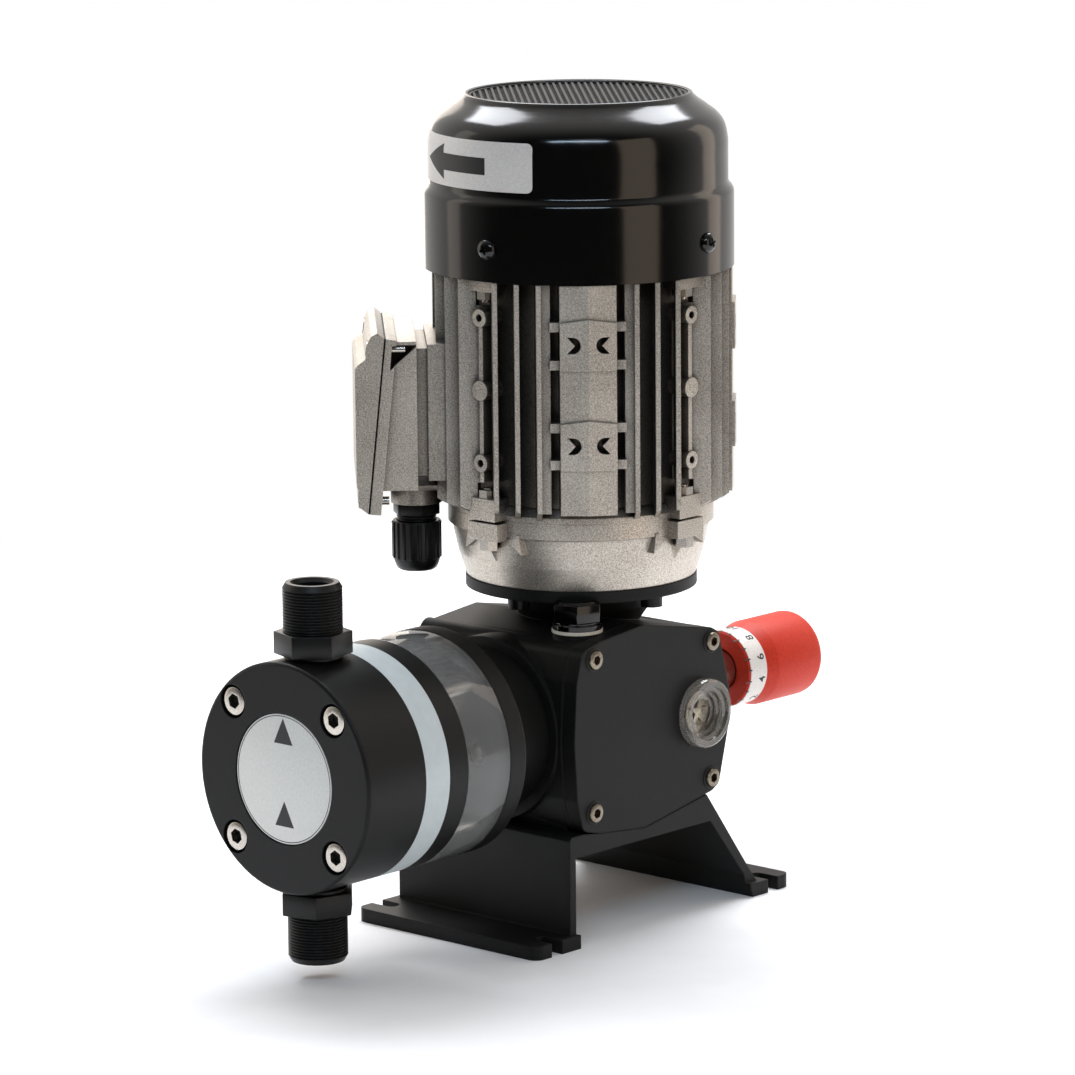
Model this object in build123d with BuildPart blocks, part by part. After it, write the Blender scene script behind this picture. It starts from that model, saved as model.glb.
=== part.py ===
from build123d import *
import os
from math import asin, cos, degrees, hypot, pi, radians, sin, sqrt, tan

os.makedirs("parts", exist_ok=True)

# Diaphragm metering pump, millimetres.  +Z up, floor at z = 0.  The origin is the centre of the four
# foot slots.  The pump head looks along -Y, the stroke knob along +Y, the motor stands on top.

# ---- driving dimensions -------------------------------------------------------------------------
AXIS_Z = 93.2            # height of the push rod, eccentric shaft and knob axis
MOTOR_Y = 5.0            # motor and worm axis
CROSS_Y = -21.0          # eccentric shaft axis
CLEAR = 0.05             # radial running clearance

HEAD_R = 51.5            # pump head, spacer rings and lantern flange
HEAD_FRONT_Y = -189.7
HEAD_BACK_Y = -153.9
WHITE_BACK_Y = -139.0
SUPPORT_BACK_Y = -127.0
SLEEVE_BACK_Y = -100.0
FLANGE_BACK_Y = -90.0
HOUSING_FRONT_Y = -59.0
HEAD_SCREW_OFFSET = 30.3 # the four long screws sit at +-30.3 in x and z
VALVE_Y = -170.0
CHAMBER_R = 28.0
DIAPHRAGM_R = 37.5

NECK_R = 37.0
NECK_BORE_R = 22.0
BOSS_R = 42.0
SPIGOT_R = 24.0

GEAR_HALF_X = 45.0       # inner face of the side cover
GASKET = 0.6
COVER = 7.5
WALL = 6.5
DRAFT = 1.8
MOTOR_FLANGE_Z = 156.3
MOTOR_FLANGE_R = 52.9
MOTOR_SCREW_PCD = 85.0
MOTOR_SPIGOT_R = 35.0

ROD_R = 7.0
STROKE = 4.0
ECCENTRICITY = STROKE / 2
DISC_R = 14.0
SHAFT_R = 7.0

GEAR_MODULE = 1.25
WHEEL_TEETH = 24
WORM_STARTS = 2
WHEEL_PITCH_R = GEAR_MODULE * WHEEL_TEETH / 2
WORM_PITCH_R = MOTOR_Y - CROSS_Y - WHEEL_PITCH_R
BACKLASH = 0.4

STATOR_R = 57.0
FIN_TIP_R = 69.5
FIN_T = 2.2
FIN_OFFSETS = (21.8, 31.3, 40.7)
STATOR_BOTTOM_Z = 188.5
STATOR_TOP_Z = 300.0
STATOR_BORE_R = 46.0
MOTOR_BOLT_R = 61.5
COVER_R = 70.2
COVER_TOP_R = 67.6
COVER_T = 1.5
FAN_SCREW_AZ = 6.5

BOX_HALF = 40.0
GLAND_D = 75.0

KNOB_FRONT_Y = 103.0
KNOB_END_Y = 156.0
KNOB_RING_R = 18.0
KNOB_R = 20.3
STUB_R = 9.5
STUB_END_Y = 128.0

FOOT_HALF_X = 55.5
LEG_HALF_X = 52.7
FOOT_T = 6.3
SLOT_W = 7.0
SLOT_Y = 75.0
SLOT_END_X = 46.0

BOTTOM = (Align.CENTER, Align.CENTER, Align.MIN)
MOTOR_AXIS = Axis((0, MOTOR_Y, 0), (0, 0, 1))
HEAD_AXIS = Axis((0, 0, AXIS_Z), (0, 1, 0))
MOTOR_SECTION = Plane(origin=(0, MOTOR_Y, 0), x_dir=(1, 0, 0), z_dir=(0, -1, 0))
HEAD_SECTION = Plane(origin=(0, 0, AXIS_Z), x_dir=(1, 0, 0), z_dir=(0, 0, 1))
HALF = sqrt(0.5)
BOX_FACE = Plane(origin=(0, MOTOR_Y, 0), x_dir=(HALF, -HALF, 0), z_dir=(-HALF, -HALF, 0))
BOX_SIDE = Plane(origin=(0, MOTOR_Y, 0), x_dir=(-HALF, -HALF, 0), z_dir=(-HALF, HALF, 0))
GLAND_X = -GLAND_D * HALF
GLAND_Y = MOTOR_Y - GLAND_D * HALF


# ---- shared shapes ------------------------------------------------------------------------------
def turned(points, section, axis, mode=Mode.ADD):
    """Turn a closed outline of (radius, distance) points round an axis."""
    with BuildSketch(section) as outline:
        with BuildLine():
            Polyline(*points, close=True)
        make_face()
    revolve(outline.sketch, axis=axis, mode=mode)


def disc_x(radius, x0, x1, y=CROSS_Y, z=AXIS_Z, mode=Mode.ADD):
    with Locations(Location((x0, y, z), (0, 90, 0))):
        Cylinder(radius, x1 - x0, align=BOTTOM, mode=mode)


def disc_y(radius, y0, y1, x=0.0, z=AXIS_Z, mode=Mode.ADD):
    with Locations(Location((x, y0, z), (-90, 0, 0))):
        Cylinder(radius, y1 - y0, align=BOTTOM, mode=mode)


def disc_z(radius, z0, z1, x=0.0, y=MOTOR_Y, mode=Mode.ADD):
    with Locations((x, y, z0)):
        Cylinder(radius, z1 - z0, align=BOTTOM, mode=mode)


def hexagon(plane, across_flats, height, turn=0.0, mode=Mode.ADD):
    with BuildSketch(plane) as outline:
        RegularPolygon(across_flats / 2, 6, major_radius=False, rotation=turn)
    extrude(outline.sketch, amount=height, mode=mode)


def block(x0, x1, y0, y1, z0, z1, mode=Mode.ADD):
    with Locations(((x0 + x1) / 2, (y0 + y1) / 2, (z0 + z1) / 2)):
        Box(x1 - x0, y1 - y0, z1 - z0, mode=mode)


def socket_screw(origin, out, shank_r, length, head_r, head_h, key):
    """Socket head screw: the head stands out of origin along out, the shank goes the other way."""
    seat = Plane(origin=origin, z_dir=out)
    with BuildSketch(seat) as shank:
        Circle(shank_r)
    extrude(shank.sketch, amount=-length)
    with BuildSketch(seat) as head:
        Circle(head_r)
    extrude(head.sketch, amount=head_h)
    hexagon(seat.offset(head_h - 0.6 * head_h), key, head_h, mode=Mode.SUBTRACT)


def polar(radius, azimuth, z):
    """Point round the motor axis; azimuth 0 is towards the pump head, 90 towards the side cover."""
    return (radius * sin(radians(azimuth)), MOTOR_Y - radius * cos(radians(azimuth)), z)


def radial_box(radius, azimuth, z0, z1, depth, width):
    """Upright box centred at a radius round the motor axis, its depth along the radius."""
    with Locations(Location(polar(radius, azimuth, z0), (0, 0, azimuth - 90))):
        Box(depth, width, z1 - z0, align=BOTTOM)


def radial_plane(azimuth, distance):
    """Plane facing outwards at an azimuth round the motor axis: local x is tangential, local y is up."""
    a = radians(azimuth)
    return Plane(origin=polar(distance, azimuth, 0), x_dir=(cos(a), sin(a), 0), z_dir=(sin(a), -cos(a), 0))


def export(part, name):
    part.label = name
    export_step(part, f"parts/{name}.step")


# ---- base ---------------------------------------------------------------------------------------
GEAR_OUTLINE = [(-59.0, 0.0), (-57.3, 27.0), (-53.5, 41.0), (-42.0, 43.9), (-12.0, 46.9),
                (35.0, 38.2), (40.0, 35.5), (47.8, 6.0)]
LOWER_OUTLINE = [(y, AXIS_Z - h) for y, h in GEAR_OUTLINE]
UPPER_OUTLINE = [(y, AXIS_Z + h) for y, h in reversed(GEAR_OUTLINE[1:])]
SADDLE_BOTTOM_Z = 41.0
SADDLE_HALF_X = 42.0
BASE_SCREWS = [(x, y) for x in (-26.0, 26.0) for y in (-36.0, 22.0)]
REAR_LEG_TOP = (31.1, 53.9)
BRACKET_PROFILE = [(-88.6, 0), (-88.6, FOOT_T), (-63, FOOT_T), (-63, 49.5), (-61.5, 51), (-53.5, 51),
                   (-42, 49.3), (-12, 46.3), REAR_LEG_TOP, (62, 12), (66.7, FOOT_T), (88, FOOT_T),
                   (88, 0), (60.6, 0), (57.4, 11), (33.5, SADDLE_BOTTOM_Z), (-59, SADDLE_BOTTOM_Z),
                   (-59, 0)]

with BuildPart() as base_bracket:
    with BuildSketch(Plane.YZ):
        with BuildLine():
            Polyline(*BRACKET_PROFILE, close=True)
        make_face()
    extrude(amount=FOOT_HALF_X, both=True)
    for side in (-1, 1):
        edge_x = side * (LEG_HALF_X + FOOT_HALF_X + 10) / 2
        wide = FOOT_HALF_X + 10 - LEG_HALF_X
        with Locations((edge_x, 0, FOOT_T + 50)):
            Box(wide, 240, 100, mode=Mode.SUBTRACT)
    feet = base_bracket.edges().filter_by(Axis.Z).filter_by_position(Axis.Z, 0, FOOT_T)
    corners = [e for e in feet if abs(abs(e.center().X) - FOOT_HALF_X) < 0.1 and abs(e.center().Y) > 80]
    fillet(corners, radius=5)
    for side in (-1, 1):
        for y in (-SLOT_Y, SLOT_Y):
            disc_z(SLOT_W / 2, -1, FOOT_T + 1, side * SLOT_END_X, y, mode=Mode.SUBTRACT)
            x0, x1 = sorted((side * SLOT_END_X, side * (FOOT_HALF_X + 1)))
            block(x0, x1, y - SLOT_W / 2, y + SLOT_W / 2, -1, FOOT_T + 1, mode=Mode.SUBTRACT)
    for x, y in BASE_SCREWS:
        disc_z(3.3, SADDLE_BOTTOM_Z - 1, 60, x, y, mode=Mode.SUBTRACT)
export(base_bracket.part, "base_bracket")

with BuildPart() as base_screws:
    for x, y in BASE_SCREWS:
        socket_screw((x, y, SADDLE_BOTTOM_Z), (0, 0, -1), 3.0, 17.0, 5.0, 6.0, 5.0)
export(base_screws.part, "base_screws")

# ---- gearbox housing ----------------------------------------------------------------------------
HOUSING_END_X = GEAR_HALF_X - GASKET
FAR_END_X = -50.0
CAVITY_END_X = -44.0
COVER_SCREWS = [(-45.5, 129.5), (34.8, 125.0), (-46.0, 59.5), (34.5, 61.3)]
COVER_SCREW_R = 2.5
BEARING_R = 13.0
WINDOW_Y = 27.0
WINDOW_R = 9.3
PLUG = (33.5, -35.5)
PLUG_SEAT_Z = 138.5
BUSH_TOP_Z = 77.0
ADJUST_R = STUB_R
QUILL_R = 12.0
SEAL_R = 17.0


def gear_outline(inset):
    """The housing's side outline in the YZ plane, shrunk by inset."""
    with BuildSketch(Plane.YZ) as outline:
        with BuildLine():
            Polyline(*LOWER_OUTLINE, *UPPER_OUTLINE, close=True)
        make_face()
        fillet(outline.vertices(), radius=5)
        if inset:
            offset(amount=-inset, kind=Kind.INTERSECTION)
    return outline.sketch


with BuildPart() as gearbox_housing:
    extrude(Location((HOUSING_END_X, 0, 0)) * gear_outline(0), amount=FAR_END_X - HOUSING_END_X, taper=DRAFT)
    disc_y(BOSS_R, HOUSING_FRONT_Y - 0.2, HOUSING_FRONT_Y + 12)
    with BuildSketch(Plane.YZ) as pad:
        with BuildLine():
            Polyline((-53.5, 51), (-42, 49.3), (-12, 46.3), REAR_LEG_TOP, (31.1, 62), (-53.5, 62),
                     close=True)
        make_face()
    extrude(pad.sketch, amount=SADDLE_HALF_X, both=True)
    neck = [(0, 125), (26, 125), (26.8, 134), (30.3, 139), (32.1, 142), (35, 150), (35.5, 150.9),
            (MOTOR_FLANGE_R, 150.9), (MOTOR_FLANGE_R, MOTOR_FLANGE_Z), (0, MOTOR_FLANGE_Z)]
    turned(neck, MOTOR_SECTION, MOTOR_AXIS)
    disc_z(10.9, 125, PLUG_SEAT_Z, *PLUG)
    cavity = Location((GEAR_HALF_X, 0, 0)) * gear_outline(WALL)
    extrude(cavity, amount=CAVITY_END_X - GEAR_HALF_X, mode=Mode.SUBTRACT)
    for y, z in COVER_SCREWS:
        disc_x(6, FAR_END_X + 1, HOUSING_END_X, y, z)
    disc_x(BEARING_R + 4, CAVITY_END_X - 1, -30)
    disc_x(BEARING_R, CAVITY_END_X + 2, -29, mode=Mode.SUBTRACT)
    disc_z(13, 54, BUSH_TOP_Z)
    disc_z(9, 57, BUSH_TOP_Z + 1, mode=Mode.SUBTRACT)
    disc_z(SEAL_R, 128, MOTOR_FLANGE_Z - 2, mode=Mode.SUBTRACT)
    disc_z(QUILL_R + 2, 120, 129, mode=Mode.SUBTRACT)
    disc_z(MOTOR_SPIGOT_R + CLEAR, MOTOR_FLANGE_Z - 3, MOTOR_FLANGE_Z + 1, mode=Mode.SUBTRACT)
    disc_y(SPIGOT_R, HOUSING_FRONT_Y - 1, HOUSING_FRONT_Y + 14, mode=Mode.SUBTRACT)
    disc_y(ADJUST_R, 38, 49, mode=Mode.SUBTRACT)
    disc_z(8, 120, PLUG_SEAT_Z + 1, *PLUG, mode=Mode.SUBTRACT)
    for y, z in COVER_SCREWS:
        disc_x(COVER_SCREW_R, HOUSING_END_X - 7, HOUSING_END_X + 1, y, z, mode=Mode.SUBTRACT)
    for x, y in BASE_SCREWS:
        disc_z(3.0, 40, 59, x, y, mode=Mode.SUBTRACT)
    for k in range(4):
        x, y, z = polar(MOTOR_SCREW_PCD / 2, 90 * k, 0)
        disc_z(3.3, 149, MOTOR_FLANGE_Z + 1, x, y, mode=Mode.SUBTRACT)
    for k in range(4):
        x = 31 * cos(radians(90 * k))
        z = AXIS_Z + 31 * sin(radians(90 * k))
        disc_y(3.0, HOUSING_FRONT_Y - 1, HOUSING_FRONT_Y + 7.5, x, z, mode=Mode.SUBTRACT)
export(gearbox_housing.part, "gearbox_housing")

with BuildPart() as cover_gasket:
    extrude(Location((HOUSING_END_X, 0, 0)) * gear_outline(0), amount=GASKET)
    extrude(Location((HOUSING_END_X - 1, 0, 0)) * gear_outline(WALL), amount=3, mode=Mode.SUBTRACT)
    for y, z in COVER_SCREWS:
        disc_x(COVER_SCREW_R, HOUSING_END_X - 1, GEAR_HALF_X + 1, y, z, mode=Mode.SUBTRACT)
export(cover_gasket.part, "cover_gasket")

with BuildPart() as side_cover:
    extrude(Location((GEAR_HALF_X, 0, 0)) * gear_outline(0), amount=COVER)
    disc_x(BEARING_R + 4, 30, GEAR_HALF_X + 1)
    disc_x(BEARING_R, 29, GEAR_HALF_X + 2, mode=Mode.SUBTRACT)
    disc_x(10, GEAR_HALF_X - 1, GEAR_HALF_X + COVER + 1, WINDOW_Y, mode=Mode.SUBTRACT)
    for y, z in COVER_SCREWS:
        disc_x(COVER_SCREW_R, GEAR_HALF_X - 1, GEAR_HALF_X + COVER + 1, y, z, mode=Mode.SUBTRACT)
export(side_cover.part, "side_cover")

with BuildPart() as side_cover_screws:
    for y, z in COVER_SCREWS:
        socket_screw((GEAR_HALF_X + COVER, y, z), (1, 0, 0), COVER_SCREW_R, 14, 4.25, 5, 4)
export(side_cover_screws.part, "side_cover_screws")

FACE_X = GEAR_HALF_X + COVER
with BuildPart() as sight_glass:
    disc_x(16, FACE_X + 1, FACE_X + 6, WINDOW_Y)
    disc_x(12.5, FACE_X, FACE_X + 1, WINDOW_Y)
    disc_x(10, FACE_X - COVER, FACE_X + 1, WINDOW_Y)
    fillet(sight_glass.edges().group_by(Axis.X)[-1], radius=1.2)
    disc_x(WINDOW_R, FACE_X + 2, FACE_X + 7, WINDOW_Y, mode=Mode.SUBTRACT)
export(sight_glass.part, "sight_glass")

with BuildPart() as oil_fill_plug:
    disc_z(7.9, 128, PLUG_SEAT_Z + 1.5, *PLUG)
    hexagon(Plane(origin=(*PLUG, PLUG_SEAT_Z + 1.5)), 20.5, 10.3, turn=12)
    disc_z(11, PLUG_SEAT_Z + 1.5, PLUG_SEAT_Z + 3.5, *PLUG)
    disc_z(7.6, PLUG_SEAT_Z + 9, PLUG_SEAT_Z + 20, *PLUG, mode=Mode.SUBTRACT)
export(oil_fill_plug.part, "oil_fill_plug")

with BuildPart() as fill_plug_washer:
    disc_z(11.5, PLUG_SEAT_Z, PLUG_SEAT_Z + 1.5, *PLUG)
    disc_z(8, PLUG_SEAT_Z - 1, PLUG_SEAT_Z + 3, *PLUG, mode=Mode.SUBTRACT)
export(fill_plug_washer.part, "fill_plug_washer")

with BuildPart() as shaft_bearings:
    for x0 in (-42, 31):
        disc_x(BEARING_R, x0, x0 + 11)
        disc_x(SHAFT_R + CLEAR, x0 - 1, x0 + 12, mode=Mode.SUBTRACT)
export(shaft_bearings.part, "shaft_bearings")

with BuildPart() as plain_bushes:
    disc_z(9, 57, BUSH_TOP_Z)
    disc_z(6 + CLEAR, 56, BUSH_TOP_Z + 1, mode=Mode.SUBTRACT)
    disc_y(11, SLEEVE_BACK_Y - 4, FLANGE_BACK_Y + 4)
    disc_y(ROD_R + CLEAR, SLEEVE_BACK_Y - 5, FLANGE_BACK_Y + 5, mode=Mode.SUBTRACT)
export(plain_bushes.part, "plain_bushes")

with BuildPart() as worm_bearing:
    disc_z(SEAL_R, 128, 139)
    disc_z(QUILL_R + CLEAR, 127, 140, mode=Mode.SUBTRACT)
export(worm_bearing.part, "worm_bearing")

with BuildPart() as gearbox_seal:
    disc_z(SEAL_R, 141, 148)
    disc_z(QUILL_R + CLEAR, 140, 149, mode=Mode.SUBTRACT)
export(gearbox_seal.part, "gearbox_seal")

# ---- motor --------------------------------------------------------------------------------------
with BuildPart() as motor_flange_screws:
    for k in range(4):
        socket_screw(polar(MOTOR_SCREW_PCD / 2, 90 * k, 150.9), (0, 0, -1), 3.0, 14, 5, 6, 5)
export(motor_flange_screws.part, "motor_flange_screws")

BEARING_OUT_R = 17.5
BELL_PROFILE = [(0, MOTOR_FLANGE_Z - 3), (MOTOR_SPIGOT_R, MOTOR_FLANGE_Z - 3),
                (MOTOR_SPIGOT_R, MOTOR_FLANGE_Z), (52.5, MOTOR_FLANGE_Z), (56, 167), (58.9, 180.5),
                (60.5, 181), (60.5, STATOR_BOTTOM_Z), (0, STATOR_BOTTOM_Z)]
BELL_CAVITY = [(0, 176), (22, 176), (22, 166), (46, 170), (50, 176), (50, 200), (0, 200)]
LUG_Z = 179.5
LOWER_NUT_Z = 198.5
with BuildPart() as motor_end_shield:
    turned(BELL_PROFILE, MOTOR_SECTION, MOTOR_AXIS)
    for k in range(4):
        radial_box(56, 90 * k, LUG_Z, LUG_Z + 8, 20, 17.6)
        with BuildSketch(radial_plane(90 * k, 50)) as gussets:
            for side in (-1, 1):
                with BuildLine():
                    Polyline((side * 8, LUG_Z + 3), (side * 8, LUG_Z), (side * 17, LUG_Z - 6),
                             (side * 15.5, LUG_Z + 3), close=True)
                make_face()
        extrude(gussets.sketch, amount=9)
        x, y, z = polar(MOTOR_BOLT_R, 90 * k, 0)
        disc_z(5.2, 165, LUG_Z, x, y, mode=Mode.SUBTRACT)
    turned(BELL_CAVITY, MOTOR_SECTION, MOTOR_AXIS, mode=Mode.SUBTRACT)
    disc_z(BEARING_OUT_R, 165, 177, mode=Mode.SUBTRACT)
    disc_z(8, 150, 170, mode=Mode.SUBTRACT)
    disc_z(QUILL_R + 0.5, 150, 160, mode=Mode.SUBTRACT)
    for k in range(4):
        x, y, z = polar(MOTOR_SCREW_PCD / 2, 90 * k, 0)
        disc_z(3.0, MOTOR_FLANGE_Z - 1, 166, x, y, mode=Mode.SUBTRACT)
        x, y, z = polar(MOTOR_BOLT_R, 90 * k, 0)
        disc_z(2.5, 175, 190, x, y, mode=Mode.SUBTRACT)
export(motor_end_shield.part, "motor_end_shield")

FOOT_PAD_AZ = (45, 135, 225)
FIN_TOP_Z = 297.0
STRIP_BOTTOM_Z = 194.0
STRIP_HALF = 12.6
STRIP_ROOT = 50.0
EAR_FACE = 66.0
STEP_FACE = 63.0
STRIP_FACE = 68.2
STRIP_RIDGE = 69.8
PAD_RISE = 1.4
PAD_BANDS = ((216.0, 236.8), (260.8, 282.0))
CHEVRON = 1.6
EAR_HALF = 17.0
EAR_H = 4.2
POCKET_HALF = 3.7
POCKET_IN = 3.4
POCKET_FLOOR = 63.5
WEDGE_AT = 10.4
LUG_BOSSES = ((280.2, 4.0), (247.5, 4.5), (214.7, 4.0))
LUG_HOLE_R = 1.7


def strip_plan(rise):
    """Plan of a foot strip: x outwards from the motor axis, y across, with a low ridge in front."""
    with BuildSketch() as plan:
        with BuildLine():
            Polyline((STRIP_ROOT, -STRIP_HALF), (STRIP_FACE + rise, -STRIP_HALF), (STRIP_RIDGE + rise, 0),
                     (STRIP_FACE + rise, STRIP_HALF), (STRIP_ROOT, STRIP_HALF), close=True)
        make_face()
        if rise:
            with Locations(((STRIP_ROOT + EAR_FACE) / 2, 0)):
                Rectangle(EAR_FACE - STRIP_ROOT, 2 * EAR_HALF)
    return plan.sketch


def on_motor(azimuth, z, shape):
    """Place a plan drawn along local x at an azimuth round the motor axis."""
    return Location((0, MOTOR_Y, z), (0, 0, azimuth - 90)) * shape


def pad_front(z0, z1):
    """Front view of a foot pad, with chevron edges and two ears."""
    with BuildSketch() as front:
        with BuildLine():
            Polyline((-STRIP_HALF, z0 - CHEVRON), (0, z0), (STRIP_HALF, z0 - CHEVRON),
                     (STRIP_HALF, z1 - CHEVRON), (0, z1), (-STRIP_HALF, z1 - CHEVRON), close=True)
        make_face()
        with Locations((0, z0 - CHEVRON + EAR_H / 2), (0, z1 - CHEVRON - EAR_H / 2)):
            Rectangle(2 * EAR_HALF, EAR_H)
    return front.sketch


def pad_pockets(middle):
    """Front view of a foot pad's two nut pockets: round inner end, with a wedge left standing outside."""
    with BuildSketch() as front:
        for side in (-1, 1):
            with Locations((side * (POCKET_IN + POCKET_HALF), middle)):
                Circle(POCKET_HALF)
            with Locations((side * (POCKET_IN + POCKET_HALF + EAR_HALF / 2), middle)):
                Rectangle(EAR_HALF, 2 * POCKET_HALF)
            with BuildLine():
                Polyline((side * (POCKET_IN + 2.6), middle), (side * WEDGE_AT, middle + POCKET_HALF + 1),
                         (side * 2 * EAR_HALF, middle + POCKET_HALF + 1),
                         (side * 2 * EAR_HALF, middle - POCKET_HALF - 1),
                         (side * WEDGE_AT, middle - POCKET_HALF - 1), close=True)
            make_face(mode=Mode.SUBTRACT)
    return front.sketch


with BuildPart() as stator_frame:
    with BuildSketch(Plane.XY.offset(STATOR_BOTTOM_Z)) as fins:
        with Locations((0, MOTOR_Y)):
            Circle(FIN_TIP_R)
            Rectangle(200, 200, mode=Mode.SUBTRACT)
        for k in range(4):
            for offset_n in FIN_OFFSETS:
                for side in (-1, 1):
                    inner = sqrt(STATOR_R ** 2 - offset_n ** 2) - 3
                    outer = sqrt(FIN_TIP_R ** 2 - offset_n ** 2)
                    mid = (inner + outer) / 2
                    turn = degrees(asin(side * offset_n / hypot(mid, offset_n)))
                    x, y, z = polar(hypot(mid, offset_n), 45 + 90 * k + turn, 0)
                    with Locations(Location((x, y, 0), (0, 0, 90 * k - 45))):
                        Rectangle(outer - inner, FIN_T)
        with Locations((0, MOTOR_Y)):
            Circle(STATOR_R)
    extrude(fins.sketch, amount=FIN_TOP_Z - STATOR_BOTTOM_Z)
    turned([(0, STATOR_BOTTOM_Z), (60.5, STATOR_BOTTOM_Z), (60.5, 191), (58, 194.5), (0, 194.5)],
           MOTOR_SECTION, MOTOR_AXIS)
    disc_z(STATOR_R, FIN_TOP_Z, STATOR_TOP_Z)
    turned([(60.5, STATOR_BOTTOM_Z - 1), (80, STATOR_BOTTOM_Z - 1), (80, 202), (67, 193), (60.5, 190)],
           MOTOR_SECTION, MOTOR_AXIS, mode=Mode.SUBTRACT)
    for k in range(4):
        azimuth = 90 * k
        x, y, z = polar(MOTOR_BOLT_R, azimuth, 0)
        disc_z(5.2, LOWER_NUT_Z, 205, x, y, mode=Mode.SUBTRACT)
        disc_z(5.2, 285, 292, x, y, mode=Mode.SUBTRACT)
        radial_box(60, azimuth, STATOR_BOTTOM_Z, LOWER_NUT_Z, 12, 15)
        radial_box(60, azimuth, 292, STATOR_TOP_Z, 12, 15)
        radial_box(60, azimuth, 206, 284, 12, 2.4)
        for z, r in LUG_BOSSES:
            with BuildSketch(radial_plane(azimuth, 54)) as boss:
                with Locations((0, z)):
                    Circle(r)
            extrude(boss.sketch, amount=13)
        for z, r in LUG_BOSSES[::2]:
            with BuildSketch(radial_plane(azimuth, 61)) as hole:
                with Locations((0, z)):
                    Circle(LUG_HOLE_R)
            extrude(hole.sketch, amount=8, mode=Mode.SUBTRACT)
    for azimuth in FOOT_PAD_AZ:
        extrude(on_motor(azimuth, STRIP_BOTTOM_Z, strip_plan(0)), amount=FIN_TOP_Z - STRIP_BOTTOM_Z)
        for side in (-1, 1):
            with BuildSketch() as step:
                with Locations(((STRIP_ROOT + STEP_FACE) / 2, side * (EAR_HALF + FIN_OFFSETS[0]) / 2)):
                    Rectangle(STEP_FACE - STRIP_ROOT, FIN_OFFSETS[0] - EAR_HALF + 1)
            extrude(on_motor(azimuth, STRIP_BOTTOM_Z, step.sketch), amount=FIN_TOP_Z - STRIP_BOTTOM_Z)
        for z0, z1 in PAD_BANDS:
            upright = extrude(on_motor(azimuth, z0 - 5, strip_plan(PAD_RISE)), amount=z1 - z0 + 10,
                              mode=Mode.PRIVATE)
            forward = extrude(radial_plane(azimuth, STRIP_ROOT).location * pad_front(z0, z1), amount=30,
                              mode=Mode.PRIVATE)
            add(upright & forward)
            pockets = pad_pockets((z0 + z1 - CHEVRON) / 2)
            extrude(radial_plane(azimuth, POCKET_FLOOR).location * pockets, amount=10, mode=Mode.SUBTRACT)
    with BuildSketch(BOX_FACE.offset(50)) as box_pad:
        with Locations((0, 235)):
            Rectangle(60, 62)
    extrude(box_pad.sketch, amount=20)
    with BuildSketch(BOX_FACE.offset(40)) as cable_hole:
        with Locations((0, 235)):
            Rectangle(24, 20)
    extrude(cable_hole.sketch, amount=40, mode=Mode.SUBTRACT)
    disc_z(STATOR_BORE_R, STATOR_BOTTOM_Z - 1, STATOR_TOP_Z + 1, mode=Mode.SUBTRACT)
    for k in range(4):
        x, y, z = polar(MOTOR_BOLT_R, 90 * k, 0)
        disc_z(2.5, STATOR_BOTTOM_Z - 1, LOWER_NUT_Z + 1, x, y, mode=Mode.SUBTRACT)
        disc_z(2.5, 290, STATOR_TOP_Z + 1, x, y, mode=Mode.SUBTRACT)
export(stator_frame.part, "stator_frame")

CORE_Z = (206.0, 284.0)
with BuildPart() as stator_core:
    disc_z(STATOR_BORE_R, *CORE_Z)
    disc_z(31, CORE_Z[0] - 1, CORE_Z[1] + 1, mode=Mode.SUBTRACT)
export(stator_core.part, "stator_core")

with BuildPart() as stator_windings:
    for z0, z1 in ((CORE_Z[0] - 14, CORE_Z[0]), (CORE_Z[1], CORE_Z[1] + 13)):
        disc_z(43.5, z0, z1)
        disc_z(33, z0 - 1, z1 + 1, mode=Mode.SUBTRACT)
export(stator_windings.part, "stator_windings")

REAR_TOP_Z = 318.0
with BuildPart() as rear_end_shield:
    disc_z(62, STATOR_TOP_Z, 306)
    disc_z(24, 306, REAR_TOP_Z - 2)
    for k in range(4):
        radial_box(58, 90 * k + FAN_SCREW_AZ, 302, REAR_TOP_Z, 21, 12)
        radial_box(61, 90 * k, STATOR_TOP_Z, 306, 10, 15)
        x, y, z = polar(MOTOR_BOLT_R, 90 * k, 0)
        disc_z(5.2, 306, 320, x, y, mode=Mode.SUBTRACT)
    turned([(COVER_R - COVER_T, 290), (90, 290), (90, 330), (COVER_R - COVER_T, 330)], MOTOR_SECTION,
           MOTOR_AXIS, mode=Mode.SUBTRACT)
    disc_z(BEARING_OUT_R, 299, 311, mode=Mode.SUBTRACT)
    disc_z(8, 299, REAR_TOP_Z, mode=Mode.SUBTRACT)
    for k in range(4):
        x, y, z = polar(MOTOR_BOLT_R, 90 * k, 0)
        disc_z(2.5, 299, 307, x, y, mode=Mode.SUBTRACT)
        with BuildSketch(radial_plane(90 * k + FAN_SCREW_AZ, 60)) as screw_hole:
            with Locations((0, 312)):
                Circle(2.0)
        extrude(screw_hole.sketch, amount=12, mode=Mode.SUBTRACT)
export(rear_end_shield.part, "rear_end_shield")

BEARING_Z = (165.0, 300.0)
with BuildPart() as motor_bearings:
    for z in BEARING_Z:
        disc_z(BEARING_OUT_R, z, z + 11)
        disc_z(7.5 + CLEAR, z - 1, z + 12, mode=Mode.SUBTRACT)
export(motor_bearings.part, "motor_bearings")

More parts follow.
